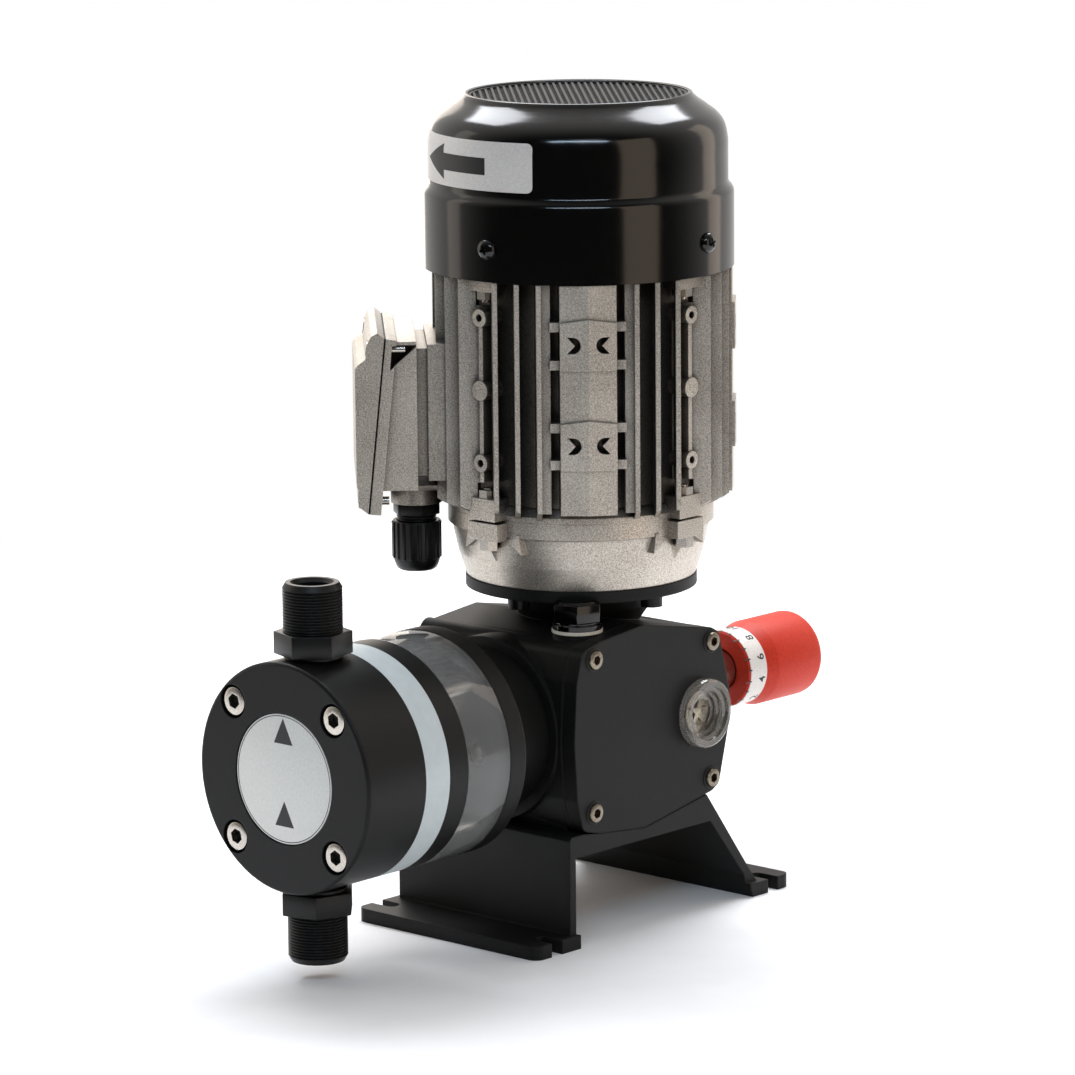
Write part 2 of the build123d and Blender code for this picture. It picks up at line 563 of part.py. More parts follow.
with BuildPart() as end_shield_bolts:
    for k in range(4):
        x, y, z = polar(MOTOR_BOLT_R, 90 * k, 0)
        flat = 30 * (k % 2)
        disc_z(2.5, LUG_Z, LOWER_NUT_Z + 4.5, x, y)
        hexagon(Plane(origin=(x, y, LUG_Z)), 8, -4.7, flat)
        hexagon(Plane(origin=(x, y, LOWER_NUT_Z)), 8, 3.7, flat)
        disc_z(2.5, 287, 306, x, y)
        hexagon(Plane(origin=(x, y, 292)), 8, -3.7, flat)
        hexagon(Plane(origin=(x, y, 306)), 8, 3.5, flat)
export(end_shield_bolts.part, "end_shield_bolts")

SHOULDER_Z = 354.0
COVER_OUT = [(COVER_R, 297.3), (COVER_R, 331), (69.2, 333), (COVER_TOP_R, 335), (COVER_TOP_R, SHOULDER_Z),
             (66.2, 360.9), (63.9, 364.6), (59.6, 368.2), (54.5, 371.8), (52, 374), (51, 375.5)]
GRILLE_R = 49.5
with BuildPart() as fan_cover:
    shell = COVER_OUT + [(GRILLE_R, 375.5), (GRILLE_R, 372)]
    shell += [(r - COVER_T, z - 0.8 * COVER_T) for r, z in reversed(COVER_OUT[2:-2])]
    shell += [(COVER_R - COVER_T, 330), (COVER_R - COVER_T, 297.3)]
    turned(shell, MOTOR_SECTION, MOTOR_AXIS)
    for k in range(4):
        with BuildSketch(radial_plane(90 * k + FAN_SCREW_AZ, 60)) as screw_hole:
            with Locations((0, 312)):
                Circle(2.2)
        extrude(screw_hole.sketch, amount=12, mode=Mode.SUBTRACT)
export(fan_cover.part, "fan_cover")

with BuildPart() as fan_grille:
    disc_z(GRILLE_R, 372.5, 374.5)
    with Locations((0, MOTOR_Y, 373)):
        with PolarLocations(32, 12, start_angle=15):
            Box(28, 6, 10, mode=Mode.SUBTRACT)
export(fan_grille.part, "fan_grille")

with BuildPart() as fan_cover_screws:
    for k in range(4):
        azimuth = 90 * k + FAN_SCREW_AZ
        with BuildSketch(radial_plane(azimuth, COVER_R)) as shank:
            with Locations((0, 312)):
                Circle(2.0)
        extrude(shank.sketch, amount=-8)
        with BuildSketch(radial_plane(azimuth, COVER_R)) as head:
            with Locations((0, 312)):
                Circle(4.2)
        extrude(head.sketch, amount=2.6, taper=25)
export(fan_cover_screws.part, "fan_cover_screws")

LABEL_Z = (337.5, 359.5)
LABEL_TOP_R = COVER_TOP_R - 1.4 * (LABEL_Z[1] - SHOULDER_Z) / 6.9
with BuildPart() as rotation_label:
    turned([(COVER_TOP_R + 0.05, LABEL_Z[0]), (COVER_TOP_R + 0.3, LABEL_Z[0]),
            (COVER_TOP_R + 0.3, SHOULDER_Z), (LABEL_TOP_R + 0.3, LABEL_Z[1]),
            (LABEL_TOP_R + 0.05, LABEL_Z[1]), (COVER_TOP_R + 0.05, SHOULDER_Z)], MOTOR_SECTION, MOTOR_AXIS)
    with BuildSketch(Plane.XY.offset(330)) as wedge:
        with BuildLine():
            Polyline((0, MOTOR_Y), *[polar(120, az, 0)[:2] for az in (-43, -20, 2, 24.4)], close=True)
        make_face()
    extrude(wedge.sketch, amount=40, mode=Mode.INTERSECT)
export(rotation_label.part, "rotation_label")

# ---- rotating parts of the motor -----------------------------------------------------------------
THREAD_HALF = 3.5 * pi * GEAR_MODULE
THREAD_Z = (AXIS_Z - THREAD_HALF, AXIS_Z + THREAD_HALF)
with BuildPart() as rotor_shaft:
    disc_z(7, 126.3, BEARING_Z[0] - 2)
    disc_z(7.5, BEARING_Z[0] - 2, BEARING_Z[0] + 11)
    disc_z(10, BEARING_Z[0] + 11, BEARING_Z[1])
    disc_z(7.5, BEARING_Z[1], REAR_TOP_Z)
    disc_z(6, REAR_TOP_Z, 345)
export(rotor_shaft.part, "rotor_shaft")

with BuildPart() as rotor_core:
    disc_z(30.4, *CORE_Z)
    for z0, z1 in ((CORE_Z[0] - 6, CORE_Z[0]), (CORE_Z[1], CORE_Z[1] + 6)):
        disc_z(29, z0, z1)
    disc_z(10, CORE_Z[0] - 7, CORE_Z[1] + 7, mode=Mode.SUBTRACT)
export(rotor_core.part, "rotor_core")

with BuildPart() as cooling_fan:
    disc_z(12, 320, 343)
    disc_z(54, 341, 343)
    with Locations((0, MOTOR_Y, 320)):
        with PolarLocations(31.5, 7):
            Box(43, 2.2, 22, align=BOTTOM)
    disc_z(6, 319, 344, mode=Mode.SUBTRACT)
export(cooling_fan.part, "cooling_fan")

# Worm: right-handed, so its threads on the wheel's side rise towards +X.
LEAD = pi * GEAR_MODULE * WORM_STARTS
PRESSURE = tan(radians(20))
FLANK_HALF = pi * GEAR_MODULE / 4 - BACKLASH / 2
TIP_HALF = FLANK_HALF - GEAR_MODULE * PRESSURE
DEDENDUM = 1.25 * GEAR_MODULE
ROOT_HALF = FLANK_HALF + DEDENDUM * PRESSURE
WORM_ROOT_R = WORM_PITCH_R - DEDENDUM
WORM_TIP_R = WORM_PITCH_R + GEAR_MODULE
WORM_LENGTH = THREAD_Z[1] - THREAD_Z[0]
THREAD_CORNERS = ((WORM_ROOT_R, -ROOT_HALF), (WORM_TIP_R, -TIP_HALF), (WORM_TIP_R, TIP_HALF),
                  (WORM_ROOT_R, ROOT_HALF))
with BuildSketch(Plane(origin=(0, MOTOR_Y, THREAD_Z[0]))) as worm_section:
    Circle(WORM_ROOT_R)
    for start in range(WORM_STARTS):
        corners = []
        for r, along in THREAD_CORNERS:
            angle = radians(360 * (start / WORM_STARTS + along / LEAD) - 90)
            corners.append((r * cos(angle), r * sin(angle)))
        with BuildLine():
            Polyline(*corners, close=True)
        make_face()
with BuildPart() as worm:
    add(Solid.extrude_linear_with_rotation(worm_section.sketch.face(), (0, MOTOR_Y, THREAD_Z[0]),
                                           (0, 0, WORM_LENGTH), 360 * WORM_LENGTH / LEAD))
    disc_z(6, 59, THREAD_Z[0])
    disc_z(8.5, THREAD_Z[1], 122)
    disc_z(QUILL_R, 122, 155)
    disc_z(7, 126.2, 156, mode=Mode.SUBTRACT)
export(worm.part, "worm")

# ---- eccentric shaft and worm wheel --------------------------------------------------------------
with BuildPart() as eccentric_shaft:
    disc_x(SHAFT_R, -41.5, 41.5)
    for x0 in (-18, 10):
        disc_x(DISC_R, x0, x0 + 8, CROSS_Y + ECCENTRICITY)
export(eccentric_shaft.part, "eccentric_shaft")

WHEEL_HALF_X = 6.0
WHEEL_TIP_R = WHEEL_PITCH_R + GEAR_MODULE
WHEEL_ROOT_R = WHEEL_PITCH_R - DEDENDUM
HELIX_TURN = degrees(WHEEL_HALF_X * LEAD / (2 * pi * WORM_PITCH_R) / WHEEL_PITCH_R)


def wheel_outline(x, turn):
    """Tooth outline of the wheel at one face, in the plane across the shaft."""
    face = Plane(origin=(x, CROSS_Y, AXIS_Z), x_dir=(0, 1, 0), z_dir=(1, 0, 0))
    points = []
    for k in range(WHEEL_TEETH):
        middle = 360 * k / WHEEL_TEETH + turn
        for r, half in ((WHEEL_ROOT_R, -ROOT_HALF), (WHEEL_TIP_R, -TIP_HALF), (WHEEL_TIP_R, TIP_HALF),
                        (WHEEL_ROOT_R, ROOT_HALF)):
            angle = radians(middle) + asin(half / r)
            points.append((r * cos(angle), r * sin(angle)))
    with BuildSketch(face) as outline:
        with BuildLine():
            Polyline(*points, close=True)
        make_face()
    return outline.sketch


with BuildPart() as worm_wheel:
    loft([wheel_outline(-WHEEL_HALF_X, -HELIX_TURN).face(), wheel_outline(WHEEL_HALF_X, HELIX_TURN).face()],
         ruled=True)
    disc_x(11, -9.8, 9.8)
    disc_x(SHAFT_R, -11, 11, mode=Mode.SUBTRACT)
export(worm_wheel.part, "worm_wheel")

# ---- push rod, return spring, diaphragm -----------------------------------------------------------
PAD_Y = CROSS_Y - DISC_R - ECCENTRICITY - 0.3
YOKE_FRONT_Y = -50.0
RELIEF_Y = -42.3
YOKE_REAR_Y = (21.0, 26.0)
COLLAR_Y = (-71.0, -67.0)
ROD_TIP_Y = -153.0
with BuildPart() as push_rod:
    disc_y(ROD_R, ROD_TIP_Y, YOKE_FRONT_Y + 1)
    disc_y(17.5, *COLLAR_Y)
    block(-23, 23, YOKE_FRONT_Y, PAD_Y, AXIS_Z - 14, AXIS_Z + 14)
    block(-7.8, 7.8, RELIEF_Y, PAD_Y + 1, AXIS_Z - 15, AXIS_Z + 15, mode=Mode.SUBTRACT)
    for side in (-1, 1):
        x0, x1 = sorted((side * 20, side * 23))
        block(x0, x1, PAD_Y - 1, YOKE_REAR_Y[1], AXIS_Z - 14, AXIS_Z + 14)
        block(x0 - 1, x1 + 1, CROSS_Y - STROKE - 8, CROSS_Y + 8, AXIS_Z - 7.6, AXIS_Z + 7.6, mode=Mode.SUBTRACT)
    block(-23, 23, *YOKE_REAR_Y, AXIS_Z - 14, AXIS_Z + 14)
export(push_rod.part, "push_rod")

SPRING_R = 14.5
SPRING_WIRE_R = 1.15
SPRING_Y = (FLANGE_BACK_Y + SPRING_WIRE_R + 0.1, COLLAR_Y[0] - SPRING_WIRE_R - 0.1)
with BuildPart() as return_spring:
    with BuildLine():
        coil = Helix(pitch=4.1, height=SPRING_Y[1] - SPRING_Y[0], radius=SPRING_R,
                     center=(0, SPRING_Y[0], AXIS_Z), direction=(0, 1, 0))
    with BuildSketch(Plane(origin=coil @ 0, z_dir=coil % 0)):
        Circle(SPRING_WIRE_R)
    sweep(is_frenet=True)
export(return_spring.part, "return_spring")

with BuildPart() as diaphragm:
    turned([(0, -157), (12, -157), (16, HEAD_BACK_Y), (DIAPHRAGM_R, HEAD_BACK_Y), (DIAPHRAGM_R, -151.4),
            (17, -151.4), (13, -146), (ROD_R + CLEAR, -146), (ROD_R + CLEAR, ROD_TIP_Y - CLEAR),
            (0, ROD_TIP_Y - CLEAR)], HEAD_SECTION, HEAD_AXIS)
export(diaphragm.part, "diaphragm")

# ---- lantern, spacer rings and pump head ----------------------------------------------------------
HEAD_SCREWS = [(sx * HEAD_SCREW_OFFSET, AXIS_Z + sz * HEAD_SCREW_OFFSET) for sx in (-1, 1) for sz in (-1, 1)]
NECK_SCREWS = [(31 * cos(radians(90 * k)), AXIS_Z + 31 * sin(radians(90 * k))) for k in range(4)]
NECK_HEAD_Y = SLEEVE_BACK_Y + 4
HOUSING_FACE_Y = HOUSING_FRONT_Y - 0.2


def long_screw_holes(y0, y1, radius):
    for x, z in HEAD_SCREWS:
        disc_y(radius, y0, y1, x, z, mode=Mode.SUBTRACT)


with BuildPart() as lantern:
    disc_y(HEAD_R + 0.1, SLEEVE_BACK_Y, FLANGE_BACK_Y)
    disc_y(NECK_R, FLANGE_BACK_Y - 1, HOUSING_FACE_Y)
    disc_y(SPIGOT_R, HOUSING_FACE_Y - 1, HOUSING_FACE_Y + 5)
    disc_y(NECK_BORE_R, FLANGE_BACK_Y, HOUSING_FACE_Y + 6, mode=Mode.SUBTRACT)
    disc_y(11, SLEEVE_BACK_Y - 1, FLANGE_BACK_Y + 1, mode=Mode.SUBTRACT)
    long_screw_holes(SLEEVE_BACK_Y - 1, FLANGE_BACK_Y + 1, 4.0)
    for x, z in NECK_SCREWS:
        disc_y(3.0, SLEEVE_BACK_Y - 1, HOUSING_FACE_Y + 1, x, z, mode=Mode.SUBTRACT)
        disc_y(5.2, SLEEVE_BACK_Y - 1, NECK_HEAD_Y + 3, x, z, mode=Mode.SUBTRACT)
export(lantern.part, "lantern")

with BuildPart() as lantern_screws:
    for x, z in NECK_SCREWS:
        socket_screw((x, NECK_HEAD_Y + 3, z), (0, -1, 0), 3.0, 41, 5, 6, 5)
export(lantern_screws.part, "lantern_screws")

with BuildPart() as clear_sleeve:
    disc_y(HEAD_R, SUPPORT_BACK_Y, SLEEVE_BACK_Y)
    disc_y(HEAD_R - 3, SUPPORT_BACK_Y - 1, SLEEVE_BACK_Y + 1, mode=Mode.SUBTRACT)
export(clear_sleeve.part, "clear_sleeve")

with BuildPart() as support_ring:
    disc_y(HEAD_R, WHITE_BACK_Y, SUPPORT_BACK_Y)
    disc_y(CHAMBER_R, WHITE_BACK_Y - 1, SUPPORT_BACK_Y + 1, mode=Mode.SUBTRACT)
    long_screw_holes(WHITE_BACK_Y - 1, SUPPORT_BACK_Y + 1, 4.3)
export(support_ring.part, "support_ring")

with BuildPart() as white_spacer_ring:
    disc_y(HEAD_R, HEAD_BACK_Y, WHITE_BACK_Y)
    disc_y(CHAMBER_R, HEAD_BACK_Y - 1, WHITE_BACK_Y + 1, mode=Mode.SUBTRACT)
    disc_y(DIAPHRAGM_R, HEAD_BACK_Y - 1, -151.4, mode=Mode.SUBTRACT)
    long_screw_holes(HEAD_BACK_Y - 1, WHITE_BACK_Y + 1, 4.3)
export(white_spacer_ring.part, "white_spacer_ring")

COUNTERBORE_Y = HEAD_FRONT_Y + 8.5
LABEL_R = 28.8
SHANK_R = 10.0
SUCTION_TOP_Z = 74.4
DISCHARGE_BOTTOM_Z = 2 * AXIS_Z - SUCTION_TOP_Z
with BuildPart() as pump_head:
    disc_y(HEAD_R, HEAD_FRONT_Y, HEAD_BACK_Y)
    fillet(pump_head.edges().group_by(Axis.Y)[0], radius=1.5)
    disc_y(LABEL_R + 0.5, HEAD_FRONT_Y - 1, HEAD_FRONT_Y + 0.8, mode=Mode.SUBTRACT)
    turned([(0, HEAD_BACK_Y + 1), (CHAMBER_R, HEAD_BACK_Y + 1), (CHAMBER_R, HEAD_BACK_Y - 1),
            (19, HEAD_BACK_Y - 5), (0, HEAD_BACK_Y - 5)], HEAD_SECTION, HEAD_AXIS, mode=Mode.SUBTRACT)
    disc_y(3.4, VALVE_Y, HEAD_BACK_Y - 3, mode=Mode.SUBTRACT)
    long_screw_holes(HEAD_FRONT_Y + 2, HEAD_BACK_Y + 1, 4.3)
    long_screw_holes(HEAD_FRONT_Y - 1, COUNTERBORE_Y, 7.5)
    disc_z(SHANK_R, 20, SUCTION_TOP_Z, 0, VALVE_Y, mode=Mode.SUBTRACT)
    disc_z(SHANK_R, DISCHARGE_BOTTOM_Z, 160, 0, VALVE_Y, mode=Mode.SUBTRACT)
    disc_z(4, 60, 130, 0, VALVE_Y, mode=Mode.SUBTRACT)
export(pump_head.part, "pump_head")

with BuildPart() as head_screws:
    for x, z in HEAD_SCREWS:
        socket_screw((x, COUNTERBORE_Y, z), (0, -1, 0), 4.0, 89, 6.5, 8, 6)
export(head_screws.part, "head_screws")

with BuildPart() as head_label:
    disc_y(LABEL_R, HEAD_FRONT_Y + 0.3, HEAD_FRONT_Y + 0.8)
export(head_label.part, "head_label")

THREAD_R = 12.15
BALL_R = 5.5
PORT_R = 8.0
PORT_NECK_R = 4.5
SEAT_R = 7.5
SEAT_T = 4.0
SEAT_HOLE_R = 4.0
BALL_LIFT = 3.0
BALL_ABOVE_SEAT = sqrt(BALL_R ** 2 - SEAT_HOLE_R ** 2) + CLEAR
SUCTION_SEAT_Z = 48.0
DISCHARGE_SEAT_Z = DISCHARGE_BOTTOM_Z + SEAT_T
BALL_STOP = BALL_ABOVE_SEAT + BALL_R + BALL_LIFT + 0.3
VALVE_OUTER = [(0, DISCHARGE_BOTTOM_Z), (SHANK_R, DISCHARGE_BOTTOM_Z), (SHANK_R, 144.7), (13, 144.7),
               (13, 146), (THREAD_R, 146), (THREAD_R, 176.7), (THREAD_R - 1, 177.7), (0, 177.7)]
SUCTION_OUTER = [(r, 2 * AXIS_Z - z) for r, z in VALVE_OUTER]
VALVE_SECTION = Plane(origin=(0, VALVE_Y, 0), x_dir=(1, 0, 0), z_dir=(0, -1, 0))
VALVE_AXIS = Axis((0, VALVE_Y, 0), (0, 0, 1))
with BuildPart() as discharge_valve_body:
    turned(VALVE_OUTER, VALVE_SECTION, VALVE_AXIS)
    hexagon(Plane(origin=(0, VALVE_Y, 146)), 30, 10, turn=15)
    disc_z(SEAT_R, 100, DISCHARGE_SEAT_Z + BALL_STOP, 0, VALVE_Y, mode=Mode.SUBTRACT)
    disc_z(PORT_NECK_R, 120, 140, 0, VALVE_Y, mode=Mode.SUBTRACT)
    disc_z(PORT_R, DISCHARGE_SEAT_Z + BALL_STOP + 3, 180, 0, VALVE_Y, mode=Mode.SUBTRACT)
export(discharge_valve_body.part, "discharge_valve_body")

with BuildPart() as suction_valve_body:
    turned(SUCTION_OUTER, VALVE_SECTION, VALVE_AXIS)
    hexagon(Plane(origin=(0, VALVE_Y, 2 * AXIS_Z - 156)), 30, 10, turn=15)
    disc_z(SEAT_R, SUCTION_SEAT_Z - SEAT_T, 80, 0, VALVE_Y, mode=Mode.SUBTRACT)
    disc_z(PORT_NECK_R, 30, 60, 0, VALVE_Y, mode=Mode.SUBTRACT)
    disc_z(PORT_R, 0, SUCTION_SEAT_Z - SEAT_T - 3, 0, VALVE_Y, mode=Mode.SUBTRACT)
export(suction_valve_body.part, "suction_valve_body")

with BuildPart() as valve_seats:
    for z in (SUCTION_SEAT_Z, DISCHARGE_SEAT_Z):
        disc_z(SEAT_R, z - SEAT_T, z, 0, VALVE_Y)
        disc_z(SEAT_HOLE_R, z - SEAT_T - 1, z + 1, 0, VALVE_Y, mode=Mode.SUBTRACT)
    stop_z = SUCTION_SEAT_Z + BALL_STOP
    disc_z(SEAT_R, stop_z, stop_z + 3, 0, VALVE_Y)
    disc_z(SEAT_HOLE_R, stop_z - 1, stop_z + 4, 0, VALVE_Y, mode=Mode.SUBTRACT)
export(valve_seats.part, "valve_seats")

for ball_name, seat_z in (("suction_ball", SUCTION_SEAT_Z), ("discharge_ball", DISCHARGE_SEAT_Z)):
    with BuildPart() as ball:
        with Locations((0, VALVE_Y, seat_z + BALL_ABOVE_SEAT)):
            Sphere(BALL_R)
    export(ball.part, ball_name)

# ---- stroke adjuster ------------------------------------------------------------------------------
with BuildPart() as adjuster_bush:
    disc_y(ADJUST_R, 38, STUB_END_Y)
    disc_y(6 + CLEAR, 37, STUB_END_Y + 1, mode=Mode.SUBTRACT)
export(adjuster_bush.part, "adjuster_bush")

CAP_WALL_Y = 140.0
with BuildPart() as adjuster_spindle:
    disc_y(6, YOKE_REAR_Y[1] + STROKE + 0.3, CAP_WALL_Y)
    disc_y(4.9, CAP_WALL_Y, 150)
    fillet(adjuster_spindle.edges().group_by(Axis.Y)[0], radius=2)
export(adjuster_spindle.part, "adjuster_spindle")

KNOB_PROFILE = [(STUB_R + 0.5, KNOB_FRONT_Y), (KNOB_RING_R, KNOB_FRONT_Y), (KNOB_RING_R, 116),
                (KNOB_R, 123), (KNOB_R, KNOB_END_Y), (0, KNOB_END_Y), (0, 150.5), (4.95, 150.5),
                (4.95, CAP_WALL_Y), (STUB_R + 0.5, CAP_WALL_Y)]
with BuildPart() as knob:
    turned(KNOB_PROFILE, HEAD_SECTION, HEAD_AXIS)
    fillet(knob.edges().group_by(Axis.Y)[-1], radius=4)
export(knob.part, "knob")

with BuildPart() as knob_scale:
    disc_y(KNOB_RING_R + 0.3, 104, 115.5)
    disc_y(KNOB_RING_R, 103, 117, mode=Mode.SUBTRACT)
export(knob_scale.part, "knob_scale")

# ---- terminal box ---------------------------------------------------------------------------------


def box_slab(profile, half_width, mode=Mode.ADD):
    """Slab across the terminal box: a closed (distance from the motor axis, height) outline."""
    with BuildSketch(BOX_SIDE) as outline:
        with BuildLine():
            Polyline(*profile, close=True)
        make_face()
    extrude(outline.sketch, amount=half_width, both=True, mode=mode)


LID_GAP = 0.8
CAVITIES = ((205, 252, BOX_HALF - 7), (251, 264.5, BOX_HALF - 14))
BASE_BODY = [(75, 201), (95, 201), (88, 268.5), (75, 268.5)]
RIM_BAND = [(91.9, 190.5), (97.6 - LID_GAP, 190.9), (89.4 - LID_GAP, 270.3), (83.8, 269.5)]
SCREW_POCKET = [(74, 267), (86, 267), (87, 256)]
LID_SCREWS = [(side * 34, z, head, tail) for side in (-1, 1) for z, head, tail in ((264.8, 94.5, 80), (196, 99, 88))]


def box_screw_hole(across, z, radius, d0, d1):
    """Round cut along the terminal box's outward direction."""
    with BuildSketch(BOX_FACE.offset(d0)) as hole:
        with Locations((across, z)):
            Circle(radius)
    extrude(hole.sketch, amount=d1 - d0, mode=Mode.SUBTRACT)


with BuildPart() as terminal_box_base:
    box_slab(BASE_BODY, BOX_HALF - 3)
    box_slab(RIM_BAND, BOX_HALF)
    box_slab([(70, 206), (76, 206), (76, 264), (70, 264)], 28)
    disc_z(11.6, 189.3, 196.5, GLAND_X, GLAND_Y)
    with BuildSketch(BOX_FACE.offset(66)) as funnel:
        with BuildLine():
            Polyline((-31, 202), (31, 202), (13, 196.5), (-13, 196.5), close=True)
        make_face()
    extrude(funnel.sketch, amount=21)
    for side in (-1, 1):
        with BuildSketch(BOX_SIDE.offset(side * 28)) as pocket:
            with BuildLine():
                Polyline(*SCREW_POCKET, close=True)
            make_face()
        extrude(pocket.sketch, amount=side * 20, mode=Mode.SUBTRACT)
    for z0, z1, half in CAVITIES:
        box_slab([(79, z0), (99, z0), (99, z1), (79, z1)], half, mode=Mode.SUBTRACT)
    box_slab([(68, 226), (80, 226), (80, 244), (68, 244)], 11, mode=Mode.SUBTRACT)
    disc_z(7.5, 185, 215, GLAND_X, GLAND_Y, mode=Mode.SUBTRACT)
    for across, z, head, tail in LID_SCREWS:
        box_screw_hole(across, z, 2.0, tail - 10, head)
export(terminal_box_base.part, "terminal_box_base")

with BuildPart() as terminal_box_gasket:
    box_slab([(97.6 - LID_GAP, 190.9), (97.6, 190.9), (89.4, 270.3), (89.4 - LID_GAP, 270.3)], BOX_HALF - 1)
    for z0, z1, half in CAVITIES:
        box_slab([(80, z0), (110, z0), (110, z1), (80, z1)], half, mode=Mode.SUBTRACT)
    for across, z, head, tail in LID_SCREWS:
        box_screw_hole(across, z, 2.0, tail, head)
export(terminal_box_gasket.part, "terminal_box_gasket")

LID_PROFILE = [(97.6, 191.2), (101.9, 194.4), (101.9, 202.5), (102.6, 203.5), (102.6, 257), (101.4, 258.6),
               (97.9, 261.2), (96.9, 268.5), (95.2, 271.5), (92.5, 273), (89.4, 270.5)]
with BuildPart() as terminal_box_lid:
    box_slab(LID_PROFILE, BOX_HALF)
    box_slab([(80, 206), (99, 206), (99.4, 252), (80, 252)], BOX_HALF - 7, mode=Mode.SUBTRACT)
    box_slab([(80, 251), (98, 251), (93, 264.5), (80, 264.5)], BOX_HALF - 14, mode=Mode.SUBTRACT)
    for across, z, head, tail in LID_SCREWS:
        box_screw_hole(across, z, 2.0, tail, head + 5)
        box_screw_hole(across, z, 4.2, head, head + 12)
export(terminal_box_lid.part, "terminal_box_lid")

with BuildPart() as terminal_box_screws:
    for across, z, head, tail in LID_SCREWS:
        with BuildSketch(BOX_FACE.offset(tail)) as shank:
            with Locations((across, z)):
                Circle(2.0)
        extrude(shank.sketch, amount=head - tail)
        with BuildSketch(BOX_FACE.offset(head)) as screw_head:
            with Locations((across, z)):
                Circle(3.6)
                RegularPolygon(1.6, 6, major_radius=False, mode=Mode.SUBTRACT)
        extrude(screw_head.sketch, amount=2.6)
        with BuildSketch(BOX_FACE.offset(head)) as socket_floor:
            with Locations((across, z)):
                Circle(3.6)
        extrude(socket_floor.sketch, amount=0.8)
export(terminal_box_screws.part, "terminal_box_screws")

with BuildPart() as terminal_board:
    with BuildSketch(BOX_FACE.offset(79)) as board:
        with Locations((0, 235)):
            RectangleRounded(50, 34, 2)
            with GridLocations(15, 16, 3, 2):
                Circle(2, mode=Mode.SUBTRACT)
    extrude(board.sketch, amount=4)
    with BuildSketch(BOX_FACE.offset(79.5)) as studs:
        with Locations((0, 235)):
            with GridLocations(15, 16, 3, 2):
                Circle(2)
    extrude(studs.sketch, amount=9)
export(terminal_board.part, "terminal_board")

with BuildPart() as cable_gland_body:
    disc_z(10.5, 184, 189.3, GLAND_X, GLAND_Y)
    disc_z(9.05, 176, 184, GLAND_X, GLAND_Y)
    disc_z(7.5, 189.3, 200, GLAND_X, GLAND_Y)
    disc_z(6, 170, 201, GLAND_X, GLAND_Y, mode=Mode.SUBTRACT)
export(cable_gland_body.part, "cable_gland_body")

with BuildPart() as cable_gland_seal:
    disc_z(8, 167, 176, GLAND_X, GLAND_Y)
    disc_z(5, 160, 178, GLAND_X, GLAND_Y, mode=Mode.SUBTRACT)
export(cable_gland_seal.part, "cable_gland_seal")

with BuildPart() as cable_gland_nut:
    disc_z(11.35, 162.8, 181, GLAND_X, GLAND_Y)
    disc_z(9.8, 158.2, 162.8, GLAND_X, GLAND_Y)
    fillet(cable_gland_nut.edges().group_by(Axis.Z)[0], radius=2.5)
    disc_z(8, 167, 176, GLAND_X, GLAND_Y, mode=Mode.SUBTRACT)
    disc_z(9.05, 176, 182, GLAND_X, GLAND_Y, mode=Mode.SUBTRACT)
    disc_z(6.5, 157, 168, GLAND_X, GLAND_Y, mode=Mode.SUBTRACT)
export(cable_gland_nut.part, "cable_gland_nut")
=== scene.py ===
"""Looks of the diaphragm metering pump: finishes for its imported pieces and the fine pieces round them."""

import bmesh
import bpy
from math import cos, pi, radians, sin, sqrt
from mathutils import Matrix, Vector


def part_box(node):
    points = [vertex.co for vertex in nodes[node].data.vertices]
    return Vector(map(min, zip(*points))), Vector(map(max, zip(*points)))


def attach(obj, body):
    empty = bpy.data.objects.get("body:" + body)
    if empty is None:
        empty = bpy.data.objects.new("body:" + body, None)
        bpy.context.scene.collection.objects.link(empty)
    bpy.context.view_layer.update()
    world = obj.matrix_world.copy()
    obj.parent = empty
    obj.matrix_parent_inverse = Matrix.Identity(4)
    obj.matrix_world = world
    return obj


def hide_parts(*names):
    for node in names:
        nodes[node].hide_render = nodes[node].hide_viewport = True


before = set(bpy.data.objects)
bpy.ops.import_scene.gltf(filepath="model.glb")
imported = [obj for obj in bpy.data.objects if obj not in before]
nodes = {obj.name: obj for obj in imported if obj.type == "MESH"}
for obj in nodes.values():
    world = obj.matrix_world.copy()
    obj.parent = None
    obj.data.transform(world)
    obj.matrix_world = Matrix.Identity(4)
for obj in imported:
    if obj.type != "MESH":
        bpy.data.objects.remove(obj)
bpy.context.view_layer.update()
MM = 0.001

# ---- the pump's own places, millimetres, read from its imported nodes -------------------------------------
X, Y, Z = 0, 1, 2
UP = (0, 0, 1)
FORWARD = (0, -1, 0)            # towards the pump head
BACK = (0, 1, 0)                # towards the stroke knob
SIDE = (1, 0, 0)                # towards the gearbox's side cover
VIEW_AZIMUTH = 42.28            # where the camera stands, degrees from -Y towards +X


def reach(node):
    """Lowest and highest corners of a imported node, in millimetres."""
    return [[round(v / MM, 2) for v in corner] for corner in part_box(node)]


def middle(node, axis):
    low, high = reach(node)
    return (low[axis] + high[axis]) / 2


AXIS_Z = middle("pump_head", Z)             # the pump's and the knob's axis runs at this height
HEAD_R = reach("pump_head")[1][X]
HEAD_FRONT_Y = reach("pump_head")[0][Y]
VALVE_Y = middle("discharge_valve_body", Y)
MOTOR_Y = middle("fan_cover", Y)
MOTOR_FOOT = (0, MOTOR_Y, 0)                # where the motor's axis meets the floor
COVER_FACE_X = reach("side_cover")[1][X]


# ---- materials ----------------------------------------------------------------------------------------
def linear(hex_code):
    """sRGB hex value as a linear RGBA colour."""
    channels = [int(hex_code[i:i + 2], 16) / 255 for i in (1, 3, 5)]
    return [c / 12.92 if c <= 0.04045 else ((c + 0.055) / 1.055) ** 2.4 for c in channels] + [1.0]


